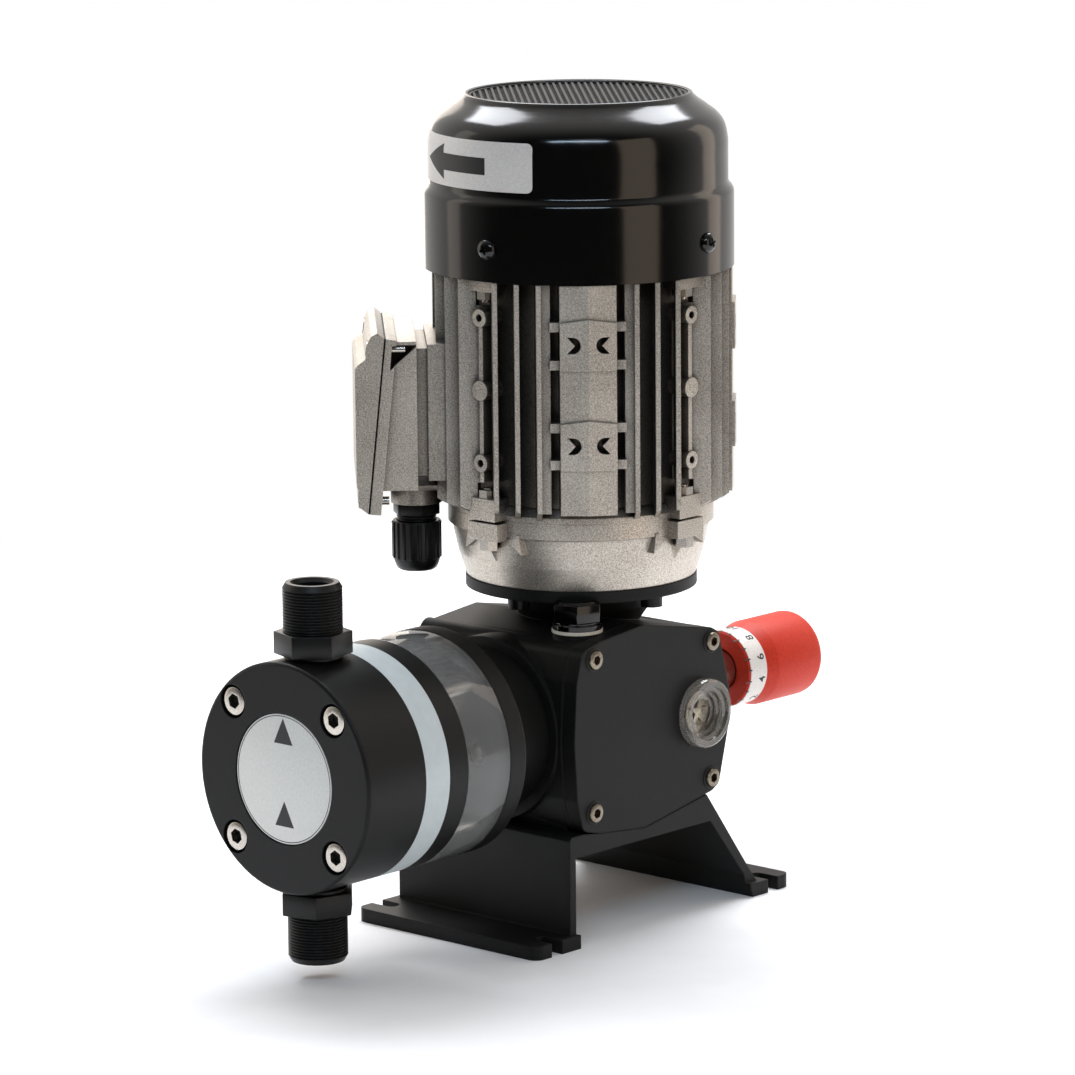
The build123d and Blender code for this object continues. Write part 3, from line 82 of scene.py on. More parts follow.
def add(tree, kind, settings=None, **inputs):
    """Adds a node with its settings; an input is a value or the socket that feeds it."""
    node = tree.nodes.new(kind)
    for key, value in (settings or {}).items():
        setattr(node, key, value)
    for key, value in inputs.items():
        socket = node.inputs[key.replace("_", " ")]
        if isinstance(value, bpy.types.NodeSocket):
            tree.links.new(value, socket)
        else:
            socket.default_value = value
    return node


def start_material(name):
    """Empty material with its surface shader, and the place on the piece that its patterns follow."""
    material = bpy.data.materials.new(name)
    material.use_nodes = True
    material.node_tree.nodes.clear()
    tree = material.node_tree
    surface = add(tree, "ShaderNodeBsdfPrincipled")
    output = add(tree, "ShaderNodeOutputMaterial")
    tree.links.new(surface.outputs["BSDF"], output.inputs["Surface"])
    place = add(tree, "ShaderNodeTexCoord").outputs["Object"]
    return material, tree, surface, place


COLOUR_A, COLOUR_B, MIXED_COLOUR = 6, 7, 2  # a Mix node's colour sockets, by number, as its names repeat
CLOUD_SHARE = 0.35              # how far the slow clouds move the tone, against the grain
GAP_SHADE = "#3a342d"               # painted shade: tone of deep gaps between metal walls


def textured(name, dark, light, grain_mm, roughness, metallic=0.0, bump_mm=0.02, spread=(0.35, 0.65),
             roughness_swing=0.06, cloud_mm=40.0, specular=0.5, edge_mm=0.0, gap_mm=0.0):
    """Finish whose colour and height vary with a grain of a real size, over slow clouds of tone.

    Where edge_mm is given, corners catch the light as if rounded by it. Where gap_mm is given, walls that
    face another wall within that distance get painted shade: their colour darkens towards a dark brown.
    """
    material, tree, surface, place = start_material(name)
    grain = add(tree, "ShaderNodeTexNoise", Vector=place, Scale=1 / (grain_mm * MM), Detail=3.0,
                Roughness=0.6)
    cloud = add(tree, "ShaderNodeTexNoise", Vector=place, Scale=1 / (cloud_mm * MM), Detail=2.0)
    blend = add(tree, "ShaderNodeMath", {"operation": "MULTIPLY_ADD"})
    tree.links.new(cloud.outputs["Fac"], blend.inputs[0])
    blend.inputs[1].default_value = CLOUD_SHARE
    tree.links.new(grain.outputs["Fac"], blend.inputs[2])
    shift = add(tree, "ShaderNodeMath", {"operation": "SUBTRACT"})
    tree.links.new(blend.outputs[0], shift.inputs[0])
    shift.inputs[1].default_value = CLOUD_SHARE / 2
    tone = add(tree, "ShaderNodeValToRGB", Fac=shift.outputs[0])
    tone.color_ramp.elements[0].position = spread[0]
    tone.color_ramp.elements[1].position = spread[1]
    tone.color_ramp.elements[0].color = linear(dark)
    tone.color_ramp.elements[1].color = linear(light)
    colour = tone.outputs["Color"]
    # painted shade: the colour darkens to a dark brown where ambient occlusion finds another wall close by
    if gap_mm:
        open_sky = add(tree, "ShaderNodeAmbientOcclusion", {"samples": 8}, Distance=gap_mm * MM)
        depth = add(tree, "ShaderNodeMapRange", Value=open_sky.outputs["AO"], From_Min=0.1, From_Max=0.92)
        shade = add(tree, "ShaderNodeMix", {"data_type": "RGBA"}, Factor=depth.outputs["Result"])
        shade.inputs[COLOUR_A].default_value = linear(GAP_SHADE)
        tree.links.new(colour, shade.inputs[COLOUR_B])
        colour = shade.outputs[MIXED_COLOUR]
    tree.links.new(colour, surface.inputs["Base Color"])
    rough = add(tree, "ShaderNodeMapRange", Value=grain.outputs["Fac"], To_Min=roughness - roughness_swing,
                To_Max=roughness + roughness_swing)
    tree.links.new(rough.outputs["Result"], surface.inputs["Roughness"])
    if bump_mm:
        height = add(tree, "ShaderNodeBump", Height=grain.outputs["Fac"], Distance=bump_mm * MM, Strength=1.0)
        if edge_mm:
            rounding = add(tree, "ShaderNodeBevel", {"samples": 4}, Radius=edge_mm * MM)
            tree.links.new(rounding.outputs["Normal"], height.inputs["Normal"])
        tree.links.new(height.outputs["Normal"], surface.inputs["Normal"])
    surface.inputs["Metallic"].default_value = metallic
    surface.inputs["Specular IOR Level"].default_value = specular
    return material


RIPPLE_MM = 9.0                 # slow ripple left by turning and polishing


def clear(name, tint, roughness, face_on, edge_on):
    """Clear plastic wall: it covers little where it is seen face on and more along its edges."""
    material, tree, surface, place = start_material(name)
    surface.inputs["Base Color"].default_value = linear(tint)
    ripple = add(tree, "ShaderNodeTexNoise", Vector=place, Scale=1 / (RIPPLE_MM * MM), Detail=2.0)
    swing = add(tree, "ShaderNodeMapRange", Value=ripple.outputs["Fac"], To_Min=roughness,
                To_Max=roughness + 0.03)
    tree.links.new(swing.outputs["Result"], surface.inputs["Roughness"])
    tilt = add(tree, "ShaderNodeLayerWeight", Blend=0.35)
    cover = add(tree, "ShaderNodeMapRange", Value=tilt.outputs["Facing"], To_Min=face_on, To_Max=edge_on)
    tree.links.new(cover.outputs["Result"], surface.inputs["Alpha"])
    surface.inputs["Specular IOR Level"].default_value = 1.0
    surface.inputs["Coat Weight"].default_value = 1.0
    surface.inputs["Coat Roughness"].default_value = 0.03
    return material


# Powder-coated aluminium casting: matte black with a fine pebbled skin.
casting_black = textured("powder_coated_casting", "#0b0b0b", "#161615", 0.6, 0.5, bump_mm=0.05, specular=0.2,
                         edge_mm=1.2)
# Moulded PVC: black, a little smoother than the castings.
pvc_black = textured("moulded_black_pvc", "#0a0a0a", "#121212", 0.8, 0.42, bump_mm=0.012, specular=0.22,
                     edge_mm=0.8)
# Die-cast aluminium, shot-blasted and lacquered: warm grey metal with light and dark flecks, and painted
# shade in the gaps between its walls.
die_cast = textured("blasted_die_cast", "#968d82", "#ddd6cb", 0.6, 0.38, metallic=0.8, bump_mm=0.05,
                    spread=(0.32, 0.66), edge_mm=0.5, gap_mm=22.0)
# Gloss enamel on pressed sheet steel: deep black, mirror-like with a slight orange peel.
enamel_black = textured("gloss_black_enamel", "#020202", "#040404", 4.0, 0.14, bump_mm=0.002,
                        roughness_swing=0.03, cloud_mm=60.0)
# Stainless steel, cold-headed: bright with a faint grain.
stainless = textured("stainless_steel", "#aaa49c", "#cfc9c0", 0.5, 0.24, metallic=1.0, bump_mm=0.002)
# Zinc-plated steel, blackened with oil: small cover screws.
oiled_steel = textured("oiled_steel", "#6e6557", "#9a9182", 0.5, 0.3, metallic=1.0, bump_mm=0.002)
# Ground alloy steel inside the gearbox.
ground_steel = textured("ground_steel", "#9c9c9c", "#c8c8c6", 0.6, 0.24, metallic=1.0, bump_mm=0.002)
# Cast bronze, machined.
bronze = textured("machined_bronze", "#9a6f34", "#b98b49", 0.8, 0.35, metallic=1.0, bump_mm=0.006)
# Enamelled copper wire, varnished in a bundle.
copper = textured("varnished_copper_winding", "#6e3516", "#a2592a", 1.1, 0.4, metallic=0.7, bump_mm=0.2)
# Stacked electrical steel.
laminated = textured("laminated_steel", "#4b4b4c", "#6a6a6b", 0.5, 0.45, metallic=0.9, bump_mm=0.03)
# Machined PTFE: dull white, slightly cool.
ptfe_white = textured("machined_ptfe", "#bcc6c9", "#c2cccf", 6.0, 0.42, bump_mm=0.004)
# Moulded polyamide: satin black.
nylon_black = textured("moulded_black_nylon", "#0a0a0a", "#131312", 0.7, 0.36, bump_mm=0.006, specular=0.3,
                       edge_mm=0.4)
# Moulded polypropylene: orange red, satin.
knob_red = textured("moulded_red_polypropylene", "#bd2c17", "#ca361f", 1.2, 0.5, bump_mm=0.01, specular=0.25)
# Brushed foil label.
foil = textured("brushed_label_foil", "#d4d0cc", "#e2deda", 0.9, 0.4, metallic=0.1, bump_mm=0.002)
# Printing ink.
ink_black = textured("screen_printed_ink", "#101012", "#161618", 0.5, 0.45, bump_mm=0.001)
# Printed vinyl disc: light grey, satin.
label_grey = textured("printed_grey_vinyl", "#d6d6d2", "#dfdfdb", 1.2, 0.4, bump_mm=0.002)
# Nitrile rubber.
rubber = textured("nitrile_rubber", "#0d0d0d", "#151515", 0.8, 0.6, bump_mm=0.02, specular=0.3)
# Cream polyamide washer.
cream = textured("cream_nylon", "#cfc9b8", "#dcd6c6", 0.9, 0.45, bump_mm=0.01)
# Pressed fibre gasket.
fibre = textured("fibre_gasket", "#191815", "#22201c", 0.7, 0.8, bump_mm=0.03, specular=0.2)
# Glazed ceramic ball.
ceramic = textured("ceramic_ball", "#d2d0c6", "#dedcd3", 2.0, 0.15, bump_mm=0.002)
# Polished tin-plated reflector behind the oil sight glass.
reflector = textured("plated_reflector", "#8d8474", "#b9b0a0", 1.0, 0.3, metallic=1.0, bump_mm=0.004)
# Cast acrylic, turned and polished.
acrylic = clear("clear_acrylic", "#a3a5a5", 0.02, 0.05, 0.65)
# Moulded sight glass: clear, warmed by the oil behind it.
oil_glass = clear("oil_sight_glass", "#6f675a", 0.04, 0.3, 0.85)

FINISHES = {
    casting_black: ("base_bracket", "gearbox_housing", "side_cover", "lantern"),
    pvc_black: ("support_ring", "pump_head"),
    die_cast: ("motor_end_shield", "stator_frame", "rear_end_shield", "terminal_box_base",
               "terminal_box_lid"),
    enamel_black: ("fan_cover", "fan_cover_screws"),
    stainless: ("base_screws", "end_shield_bolts", "head_screws", "lantern_screws", "terminal_box_screws",
                "adjuster_bush"),
    oiled_steel: ("side_cover_screws",),
    ground_steel: ("shaft_bearings", "worm_bearing", "motor_bearings", "rotor_shaft", "worm",
                   "eccentric_shaft", "push_rod", "return_spring", "adjuster_spindle"),
    bronze: ("plain_bushes", "worm_wheel"),
    copper: ("stator_windings",),
    laminated: ("stator_core", "rotor_core"),
    ptfe_white: ("white_spacer_ring", "valve_seats"),
    nylon_black: ("oil_fill_plug", "cooling_fan", "cable_gland_body", "cable_gland_nut", "terminal_board",
                  "discharge_valve_body", "suction_valve_body", "fan_grille", "motor_flange_screws"),
    knob_red: ("knob",),
    foil: ("rotation_label", "knob_scale"),
    label_grey: ("head_label",),
    rubber: ("gearbox_seal", "diaphragm", "terminal_box_gasket", "cable_gland_seal"),
    cream: ("fill_plug_washer",),
    fibre: ("cover_gasket",),
    ceramic: ("suction_ball", "discharge_ball"),
    acrylic: ("clear_sleeve",),
    oil_glass: ("sight_glass",),
}
for material, names in FINISHES.items():
    for name in names:
        finishes = nodes[name].data.materials
        finishes.clear()
        finishes.append(material)

# ---- shaping, sizes in millimetres --------------------------------------------------------------------
FINE_STEPS = 160                # facets in a full turn of the large glossy pieces
ROUND_STEPS = 96                # of other round pieces
SMALL_STEPS = 40                # and of screws
ROUNDED_FROM = radians(28)      # corners that turn by more than this are rounded
WELD_MM = 0.001


def shown(name, data):
    """New object in the scene for a mesh, lamp, text or camera."""
    thing = bpy.data.objects.new(name, data)
    bpy.context.scene.collection.objects.link(thing)
    return thing


def facing(place, direction, turn=0.0):
    """Matrix that puts a shape's origin at a place in millimetres, with its z axis along a direction."""
    tilt = Vector(direction).to_track_quat("Z", "Y").to_matrix().to_4x4()
    return Matrix.Translation(Vector(place) * MM) @ tilt @ Matrix.Rotation(radians(turn), 4, "Z")


def spun(profile, place, direction, steps=ROUND_STEPS, closed=True, round_mm=0.0):
    """Profile of (radius, height) points turned about the z axis; open profiles start and end on it."""
    bm = bmesh.new()
    line = [bm.verts.new((r * MM, 0, h * MM)) for r, h in profile]
    for a, b in zip(line, line[1:] + line[:1] if closed else line[1:]):
        bm.edges.new((a, b))
    bmesh.ops.spin(bm, geom=bm.verts[:] + bm.edges[:], cent=(0, 0, 0), axis=(0, 0, 1), angle=2 * pi,
                   steps=steps, use_merge=True)
    bmesh.ops.remove_doubles(bm, verts=bm.verts[:], dist=WELD_MM * MM)
    bmesh.ops.recalc_face_normals(bm, faces=bm.faces[:])
    if round_mm:
        round_edges(bm, round_mm)
    bmesh.ops.transform(bm, matrix=facing(place, direction), verts=bm.verts[:])
    return bm


def round_edges(bm, round_mm, segments=3):
    """Rounds every sharp corner of a shape."""
    corners = [e for e in bm.edges if len(e.link_faces) == 2 and e.calc_face_angle() > ROUNDED_FROM]
    bmesh.ops.bevel(bm, geom=corners, offset=round_mm * MM, offset_type="OFFSET", segments=segments,
                    profile=0.5, affect="EDGES", material=-1, clamp_overlap=True)


def prism(outline, height, place, direction, turn=0.0, round_mm=0.0):
    """Flat outline in millimetres pushed out along z."""
    bm = bmesh.new()
    face = bm.faces.new([bm.verts.new((x * MM, y * MM, 0)) for x, y in outline])
    lifted = bmesh.ops.extrude_face_region(bm, geom=[face], use_keep_orig=True)
    raised = [v for v in lifted["geom"] if isinstance(v, bmesh.types.BMVert)]
    bmesh.ops.translate(bm, verts=raised, vec=(0, 0, height * MM))
    bmesh.ops.recalc_face_normals(bm, faces=bm.faces[:])
    if round_mm:
        round_edges(bm, round_mm, 2)
    bmesh.ops.transform(bm, matrix=facing(place, direction, turn), verts=bm.verts[:])
    return bm


def star(points, outer, inner=None):
    """Outline with corners at one radius, or at two in turn."""
    radii = [outer] if inner is None else [outer, inner]
    step = 2 * pi / (points * len(radii))
    corners = zip(radii * points, [i * step for i in range(points * len(radii))])
    return [(radius * cos(angle), radius * sin(angle)) for radius, angle in corners]


def hexagon(across_flats):
    return star(6, across_flats / 2 / cos(pi / 6))


def rectangle(half_x, half_y, y=0.0):
    """Outline round a point on the y axis."""
    return [(-half_x, y - half_y), (half_x, y - half_y), (half_x, y + half_y), (-half_x, y + half_y)]


def joined(parts):
    """One bmesh with the shapes of several, which are used up."""
    whole = bmesh.new()
    for part in parts:
        mesh = bpy.data.meshes.new("joined_part")
        part.to_mesh(mesh)
        part.free()
        whole.from_mesh(mesh)
        bpy.data.meshes.remove(mesh)
    return whole


def carved(mesh, cutters):
    """The mesh with the cutters' shapes taken out of it."""
    blank = shown("blank", mesh)
    cutter = shown("cutter", bpy.data.meshes.new("cutter"))
    shapes = joined(cutters)
    shapes.to_mesh(cutter.data)
    shapes.free()
    cut = blank.modifiers.new("cut", "BOOLEAN")
    cut.operation = "DIFFERENCE"
    cut.solver = "EXACT"
    cut.object = cutter
    result = bpy.data.meshes.new_from_object(blank.evaluated_get(bpy.context.evaluated_depsgraph_get()))
    for used in (blank, cutter):
        data = used.data
        bpy.data.objects.remove(used)
        bpy.data.meshes.remove(data)
    return result


def piece(name, parts, material, body="pump", stands_for=(), cutters=(), sharp=32):
    """Joins the parts to one piece that rides on a body, shaded smooth but for corners over sharp degrees."""
    shape = joined(parts)
    mesh = bpy.data.meshes.new(name)
    shape.to_mesh(mesh)
    shape.free()
    if cutters:
        mesh = carved(mesh, cutters)
        mesh.name = name
    mesh.materials.clear()
    mesh.materials.append(material)
    mesh.polygons.foreach_set("use_smooth", [True] * len(mesh.polygons))
    mesh.set_sharp_from_angle(angle=radians(sharp))
    thing = shown(name, mesh)
    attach(thing, body)
    if stands_for:
        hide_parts(*stands_for)


def polar(radius, azimuth, z):
    """Place round the motor's axis, azimuth in degrees from -Y towards +X."""
    return (radius * sin(radians(azimuth)), MOTOR_Y - radius * cos(radians(azimuth)), z)


def outward(azimuth):
    """Level direction away from an upright axis, at the same azimuth."""
    return (sin(radians(azimuth)), -cos(radians(azimuth)), 0)


# ---- fan cover and grille -----------------------------------------------------------------------------
COVER_R = reach("fan_cover")[1][X]          # the lower, wider part of the pressing
COVER_FOOT_Z = reach("fan_cover")[0][Z]
COVER_TOP_R = 67.6              # and the upper part
COVER_T = 1.5
EVEN_Z = 349.0                  # a ring here keeps the straight wall's shading even
SHOULDER_Z = 354.0              # where the wall starts to lean in
GRILLE_R = reach("fan_grille")[1][X]
STEP = [(COVER_R, 330.4), (70.0, 331.6), (69.2, 333), (68.1, 334.2), (COVER_TOP_R, 335.6)]
SHOULDER = [(66.9, 358.4), (66.2, 360.9), (65.2, 362.9), (63.9, 364.6), (61.9, 366.6), (59.6, 368.2),
            (57.1, 370.1), (54.5, 371.8), (53.1, 373.0), (52, 374)]
LIP = [(51.4, 375.1), (50.6, 375.5), (GRILLE_R + 0.1, 375.1), (GRILLE_R, 372)]
outer_wall = ([(COVER_R, COVER_FOOT_Z)] + STEP + [(COVER_TOP_R, EVEN_Z), (COVER_TOP_R, SHOULDER_Z)] + SHOULDER
              + LIP)
inner_wall = ([(r - COVER_T, z - 1.2) for r, z in reversed(SHOULDER)]
              + [(COVER_TOP_R - COVER_T, 336), (COVER_R - COVER_T, 330), (COVER_R - COVER_T, COVER_FOOT_Z)])
piece("fan_cover_shell", [spun(outer_wall + inner_wall, MOTOR_FOOT, UP, steps=FINE_STEPS)], enamel_black,
      stands_for=("fan_cover",), sharp=50)

GUARD_R = GRILLE_R - 0.05
GUARD_IN = GRILLE_R - 1.4
GUARD_RIM = [(GUARD_IN, 372.6), (GUARD_R, 372.6), (GUARD_R, 374.6), (GUARD_IN, 374.6)]
WIRE_WIDTH = 1.1
WIRE_T = 0.8
WIRE_PITCH = 2.9
WIRE_REACH = GRILLE_R - 1       # wires end inside the rim
wires = [spun(GUARD_RIM, MOTOR_FOOT, UP)]
count = int(WIRE_REACH / WIRE_PITCH)
for turn, height in ((45, 372.9), (135, 373.6)):
    for k in range(-count, count + 1):
        across = k * WIRE_PITCH
        half = sqrt(WIRE_REACH ** 2 - across ** 2)
        wires.append(prism(rectangle(half, WIRE_WIDTH / 2, across), WIRE_T, (0, MOTOR_Y, height), UP,
                           turn=turn))
piece("fan_guard_mesh", wires, casting_black, stands_for=("fan_grille",))

FAN_SCREW_Z = middle("fan_cover_screws", Z)
FIRST_FAN_SCREW = 6.5           # degrees from -Y towards +X
PAN_HEAD = [(0, 0), (4.6, 0), (4.6, 0.7), (4.2, 1.7), (3.3, 2.5), (1.8, 3.0), (0, 3.1)]
ARM, WEB = 2.3, 0.45            # half-length and half-width of the cross recess
CROSS = [(-ARM, -WEB), (-WEB, -WEB), (-WEB, -ARM), (WEB, -ARM), (WEB, -WEB), (ARM, -WEB),
         (ARM, WEB), (WEB, WEB), (WEB, ARM), (-WEB, ARM), (-WEB, WEB), (-ARM, WEB)]
screws = []
recesses = []
for k in range(4):
    azimuth = FIRST_FAN_SCREW + 90 * k
    screws.append(spun(PAN_HEAD, polar(COVER_R - 0.1, azimuth, FAN_SCREW_Z), outward(azimuth), SMALL_STEPS,
                       closed=False))
    recesses.append(prism(CROSS, 4, polar(COVER_R + 1.3, azimuth, FAN_SCREW_Z), outward(azimuth), turn=20))
piece("fan_cover_pan_screws", screws, enamel_black, stands_for=("fan_cover_screws",),
      cutters=recesses)


# ---- rotation label -----------------------------------------------------------------------------------
SHOULDER_LEAN = 0.19            # how far the shoulder leans in for each millimetre up, under the label
BEND_EVERY = 2                  # degrees between the bends that wrap a flat outline round the cover


def wrapped(outline, lift, thick):
    """Flat outline of (azimuth, z) points laid on the fan cover's side and shoulder."""
    bm = bmesh.new()
    bm.faces.new([bm.verts.new((a * MM, z * MM, 0)) for a, z in outline])
    first, last = min(a for a, z in outline), max(a for a, z in outline)
    upright = [((a * MM, 0, 0), (1, 0, 0)) for a in range(int(first) - 1, int(last) + 2, BEND_EVERY)]
    level = [((0, z * MM, 0), (0, 1, 0)) for z in (SHOULDER_Z, SHOULDER_Z + 3)]
    for co, no in upright + level:
        bmesh.ops.bisect_plane(bm, geom=bm.verts[:] + bm.edges[:] + bm.faces[:], plane_co=co, plane_no=no,
                               dist=0.0001 * MM)
    for vert in bm.verts:
        azimuth, z = vert.co.x / MM, vert.co.y / MM
        radius = COVER_TOP_R - max(0, z - SHOULDER_Z) * SHOULDER_LEAN
        vert.co = Vector(polar(radius + lift, azimuth, z)) * MM
    bmesh.ops.recalc_face_normals(bm, faces=bm.faces[:])
    bmesh.ops.solidify(bm, geom=bm.faces[:], thickness=thick * MM)
    bmesh.ops.recalc_face_normals(bm, faces=bm.faces[:])
    return bm


LABEL_LOW, LABEL_HIGH = (corner[Z] for corner in reach("rotation_label"))
LABEL_FIRST, LABEL_LAST = -43, 24.4         # degrees from -Y towards +X
CORNER = 2.2                    # rounded corner, degrees round the cover
CORNER_Z = CORNER * 1.18        # and up it: a degree is 1.18 mm here


def label_corner(start, z):
    """Quarter turn at the label's right end, from a start angle, round a height."""
    return [(LABEL_LAST - CORNER + CORNER * cos(radians(t)), z + CORNER_Z * sin(radians(t)))
            for t in range(start, start + 91, 30)]


label_outline = ([(LABEL_FIRST, LABEL_HIGH), (LABEL_FIRST, LABEL_LOW)]
                 + label_corner(-90, LABEL_LOW + CORNER_Z) + label_corner(0, LABEL_HIGH - CORNER_Z))
piece("rotation_foil", [wrapped(label_outline, 0.32, 0.25)], foil,
      stands_for=("rotation_label",))

ARROW_Z = 348.3
TIP, NECK, TAIL = -36.5, -20, 4.3           # degrees
BARB, STEM = 8, 3.8             # half-widths
arrow = [(TIP, ARROW_Z), (NECK, ARROW_Z - BARB), (NECK, ARROW_Z - STEM), (TAIL, ARROW_Z - STEM),
         (TAIL, ARROW_Z + STEM), (NECK, ARROW_Z + STEM), (NECK, ARROW_Z + BARB)]
piece("rotation_arrow", [wrapped(arrow, 0.37, 0.1)], ink_black)

# ---- pump head: label, screws, sleeve -------------------------------------------------------------------
LABEL_R = reach("head_label")[1][X]
label_front, label_back = (corner[Y] for corner in reach("head_label"))
DISC = [(0, 0), (LABEL_R, 0), (LABEL_R, 0.45), (LABEL_R - 0.2, 0.55), (0, 0.55)]
INK_T = 0.06
BORDER = [(LABEL_R - 1.0, 0), (LABEL_R - 0.6, 0), (LABEL_R - 0.6, INK_T), (LABEL_R - 1.0, INK_T)]
FLOW_ARROWS = ((27.1, 15.6), (-9.9, -21.2))     # tip and base, above the axis
FLOW_ARROW_HALF = 5.7
piece("head_label_disc", [spun(DISC, (0, label_back, AXIS_Z), FORWARD, closed=False)], label_grey,
      stands_for=("head_label",))
label_marks = [spun(BORDER, (0, label_front, AXIS_Z), FORWARD)]
for tip, base in FLOW_ARROWS:
    label_marks.append(prism([(0, tip), (-FLOW_ARROW_HALF, base), (FLOW_ARROW_HALF, base)], INK_T,
                             (0, label_front, AXIS_Z), FORWARD))
piece("head_label_print", label_marks, ink_black)

CAP_R = 6.5                     # M8 socket cap screws
CAP_H = 8.0
SHANK_R = 3.95
SHANK_L = 88.9
CAP_SEAT_Y = HEAD_FRONT_Y + 8.5
HEAD_SCREW_OFFSET = reach("head_screws")[1][X] - CAP_R
CAP_SCREW = [(0, -SHANK_L), (SHANK_R, -SHANK_L), (SHANK_R, 0), (CAP_R, 0), (CAP_R, 7.2), (6.2, 7.75),
             (5.6, CAP_H), (0, CAP_H)]
SOCKET_ACROSS = 6.0
screws = []
sockets = []
socket_shade_plates = []
for side in (-1, 1):
    for height in (-1, 1):
        x, z = side * HEAD_SCREW_OFFSET, AXIS_Z + height * HEAD_SCREW_OFFSET
        turn = 10 + 25 * side
        screws.append(spun(CAP_SCREW, (x, CAP_SEAT_Y, z), FORWARD, SMALL_STEPS, closed=False))
        sockets.append(prism(hexagon(SOCKET_ACROSS), 6, (x, CAP_SEAT_Y - 3.6, z), FORWARD, turn=turn))
        # a thin black plate inside each socket is painted shade at the socket's bottom
        socket_shade_plates.append(prism(hexagon(SOCKET_ACROSS - 0.2), 0.4, (x, CAP_SEAT_Y - 4, z), FORWARD,
                                   turn=turn))
piece("long_head_screws", screws, stainless, stands_for=("head_screws",), cutters=sockets)
# painted shade: black plates deep in the screw sockets
piece("head_screw_socket_shade", socket_shade_plates, rubber)

BORE_R = HEAD_R - 3.0
sleeve_front, sleeve_back = (corner[Y] for corner in reach("clear_sleeve"))
sleeve_length = sleeve_back - sleeve_front
sleeve = spun([(BORE_R, 0), (HEAD_R, 0), (HEAD_R, sleeve_length), (BORE_R, sleeve_length)],
              (0, sleeve_front, AXIS_Z), BACK, steps=FINE_STEPS, round_mm=0.4)
piece("clear_sleeve_tube", [sleeve], acrylic, stands_for=("clear_sleeve",))

# ---- valves: port threads, hexagons and collars -------------------------------------------------------
PORT_FOOT_Z, PORT_END_Z = (corner[Z] for corner in reach("discharge_valve_body"))
HEAD_TOP_Z = reach("pump_head")[1][Z]
SPIGOT_R = 10.0                 # the part inside the head
CAGE_R = 7.5                    # where the ball lifts
COLLAR_R = 13.0
COLLAR_Z = 146.0
BALL_STOP = [(8, 131.9), (4.5, 131.9), (4.5, 128.9), (CAGE_R, 128.9)]
THREAD_CREST = 13.2
THREAD_ROOT = 12.35
THREAD_PITCH = 1.34
CREST_FROM, CREST_TO = 0.42 * THREAD_PITCH, 0.58 * THREAD_PITCH
HEX_ACROSS = 30.0
HEX_T = 10.0
thread = []
for k in range(int((PORT_END_Z - 1.6 - COLLAR_Z) / THREAD_PITCH)):
    foot = COLLAR_Z + 0.3 + k * THREAD_PITCH
    thread += [(THREAD_ROOT, foot), (THREAD_CREST, foot + CREST_FROM), (THREAD_CREST, foot + CREST_TO)]
port_end = [(THREAD_ROOT, PORT_END_Z - 1.0), (THREAD_ROOT - 0.6, PORT_END_Z), (9.6, PORT_END_Z),
            (8, PORT_END_Z - 1.8)]
valve_line = ([(SPIGOT_R, PORT_FOOT_Z), (SPIGOT_R, HEAD_TOP_Z), (COLLAR_R, HEAD_TOP_Z), (COLLAR_R, COLLAR_Z)]
              + thread + port_end + BALL_STOP + [(CAGE_R, PORT_FOOT_Z)])
hex_bore = [(0, -1), (THREAD_ROOT - 0.1, -1), (THREAD_ROOT - 0.1, HEX_T + 1), (0, HEX_T + 1)]
for name, node, base, way, turn in (
        ("discharge_port_fitting", "discharge_valve_body", 0.0, 1, VIEW_AZIMUTH),
        ("suction_port_fitting", "suction_valve_body", 2 * AXIS_Z, -1, VIEW_AZIMUTH + 30)):
    fitting = spun(valve_line, (0, VALVE_Y, base), (0, 0, way))
    piece(name, [fitting], nylon_black, stands_for=(node,), sharp=25)
    hex_start = base + way * COLLAR_Z
    hex_foot = (0, VALVE_Y, min(hex_start, hex_start + HEX_T * way))
    nut = prism(hexagon(HEX_ACROSS), HEX_T, hex_foot, UP, turn=turn, round_mm=0.45)
    piece(name + "_hexagon", [nut], nylon_black,
          cutters=[spun(hex_bore, hex_foot, UP, closed=False)], sharp=25)

# ---- cable gland --------------------------------------------------------------------------------------
GLAND_X = middle("cable_gland_body", X)
GLAND_Y = middle("cable_gland_body", Y)
GLAND = (GLAND_X, GLAND_Y, 0)
GLAND_PITCH = 1.5
GLAND_TURNS = 5
GLAND_STEPS = 64
COLLAR_FOOT_Z = 184.0
gland_line = [(6, 170), (7.5, 170), (7.5, 176)]
for k in range(GLAND_TURNS):
    foot = 176.2 + k * GLAND_PITCH
    gland_line += [(8.5, foot), (9.05, foot + 0.6), (9.05, foot + 0.9)]
gland_line += [(8.5, COLLAR_FOOT_Z), (7.5, COLLAR_FOOT_Z), (7.5, 200), (6, 200)]
collar = prism(hexagon(19.4), 5.3, (GLAND_X, GLAND_Y, COLLAR_FOOT_Z), UP, turn=25, round_mm=0.5)
collar_bore = spun([(0, 183), (7.0, 183), (7.0, 190), (0, 190)], GLAND, UP, SMALL_STEPS, closed=False)
piece("gland_body", [spun(gland_line, GLAND, UP, GLAND_STEPS)], nylon_black,
      stands_for=("cable_gland_body",), sharp=25)
piece("gland_body_hexagon", [collar], nylon_black, cutters=[collar_bore], sharp=25)

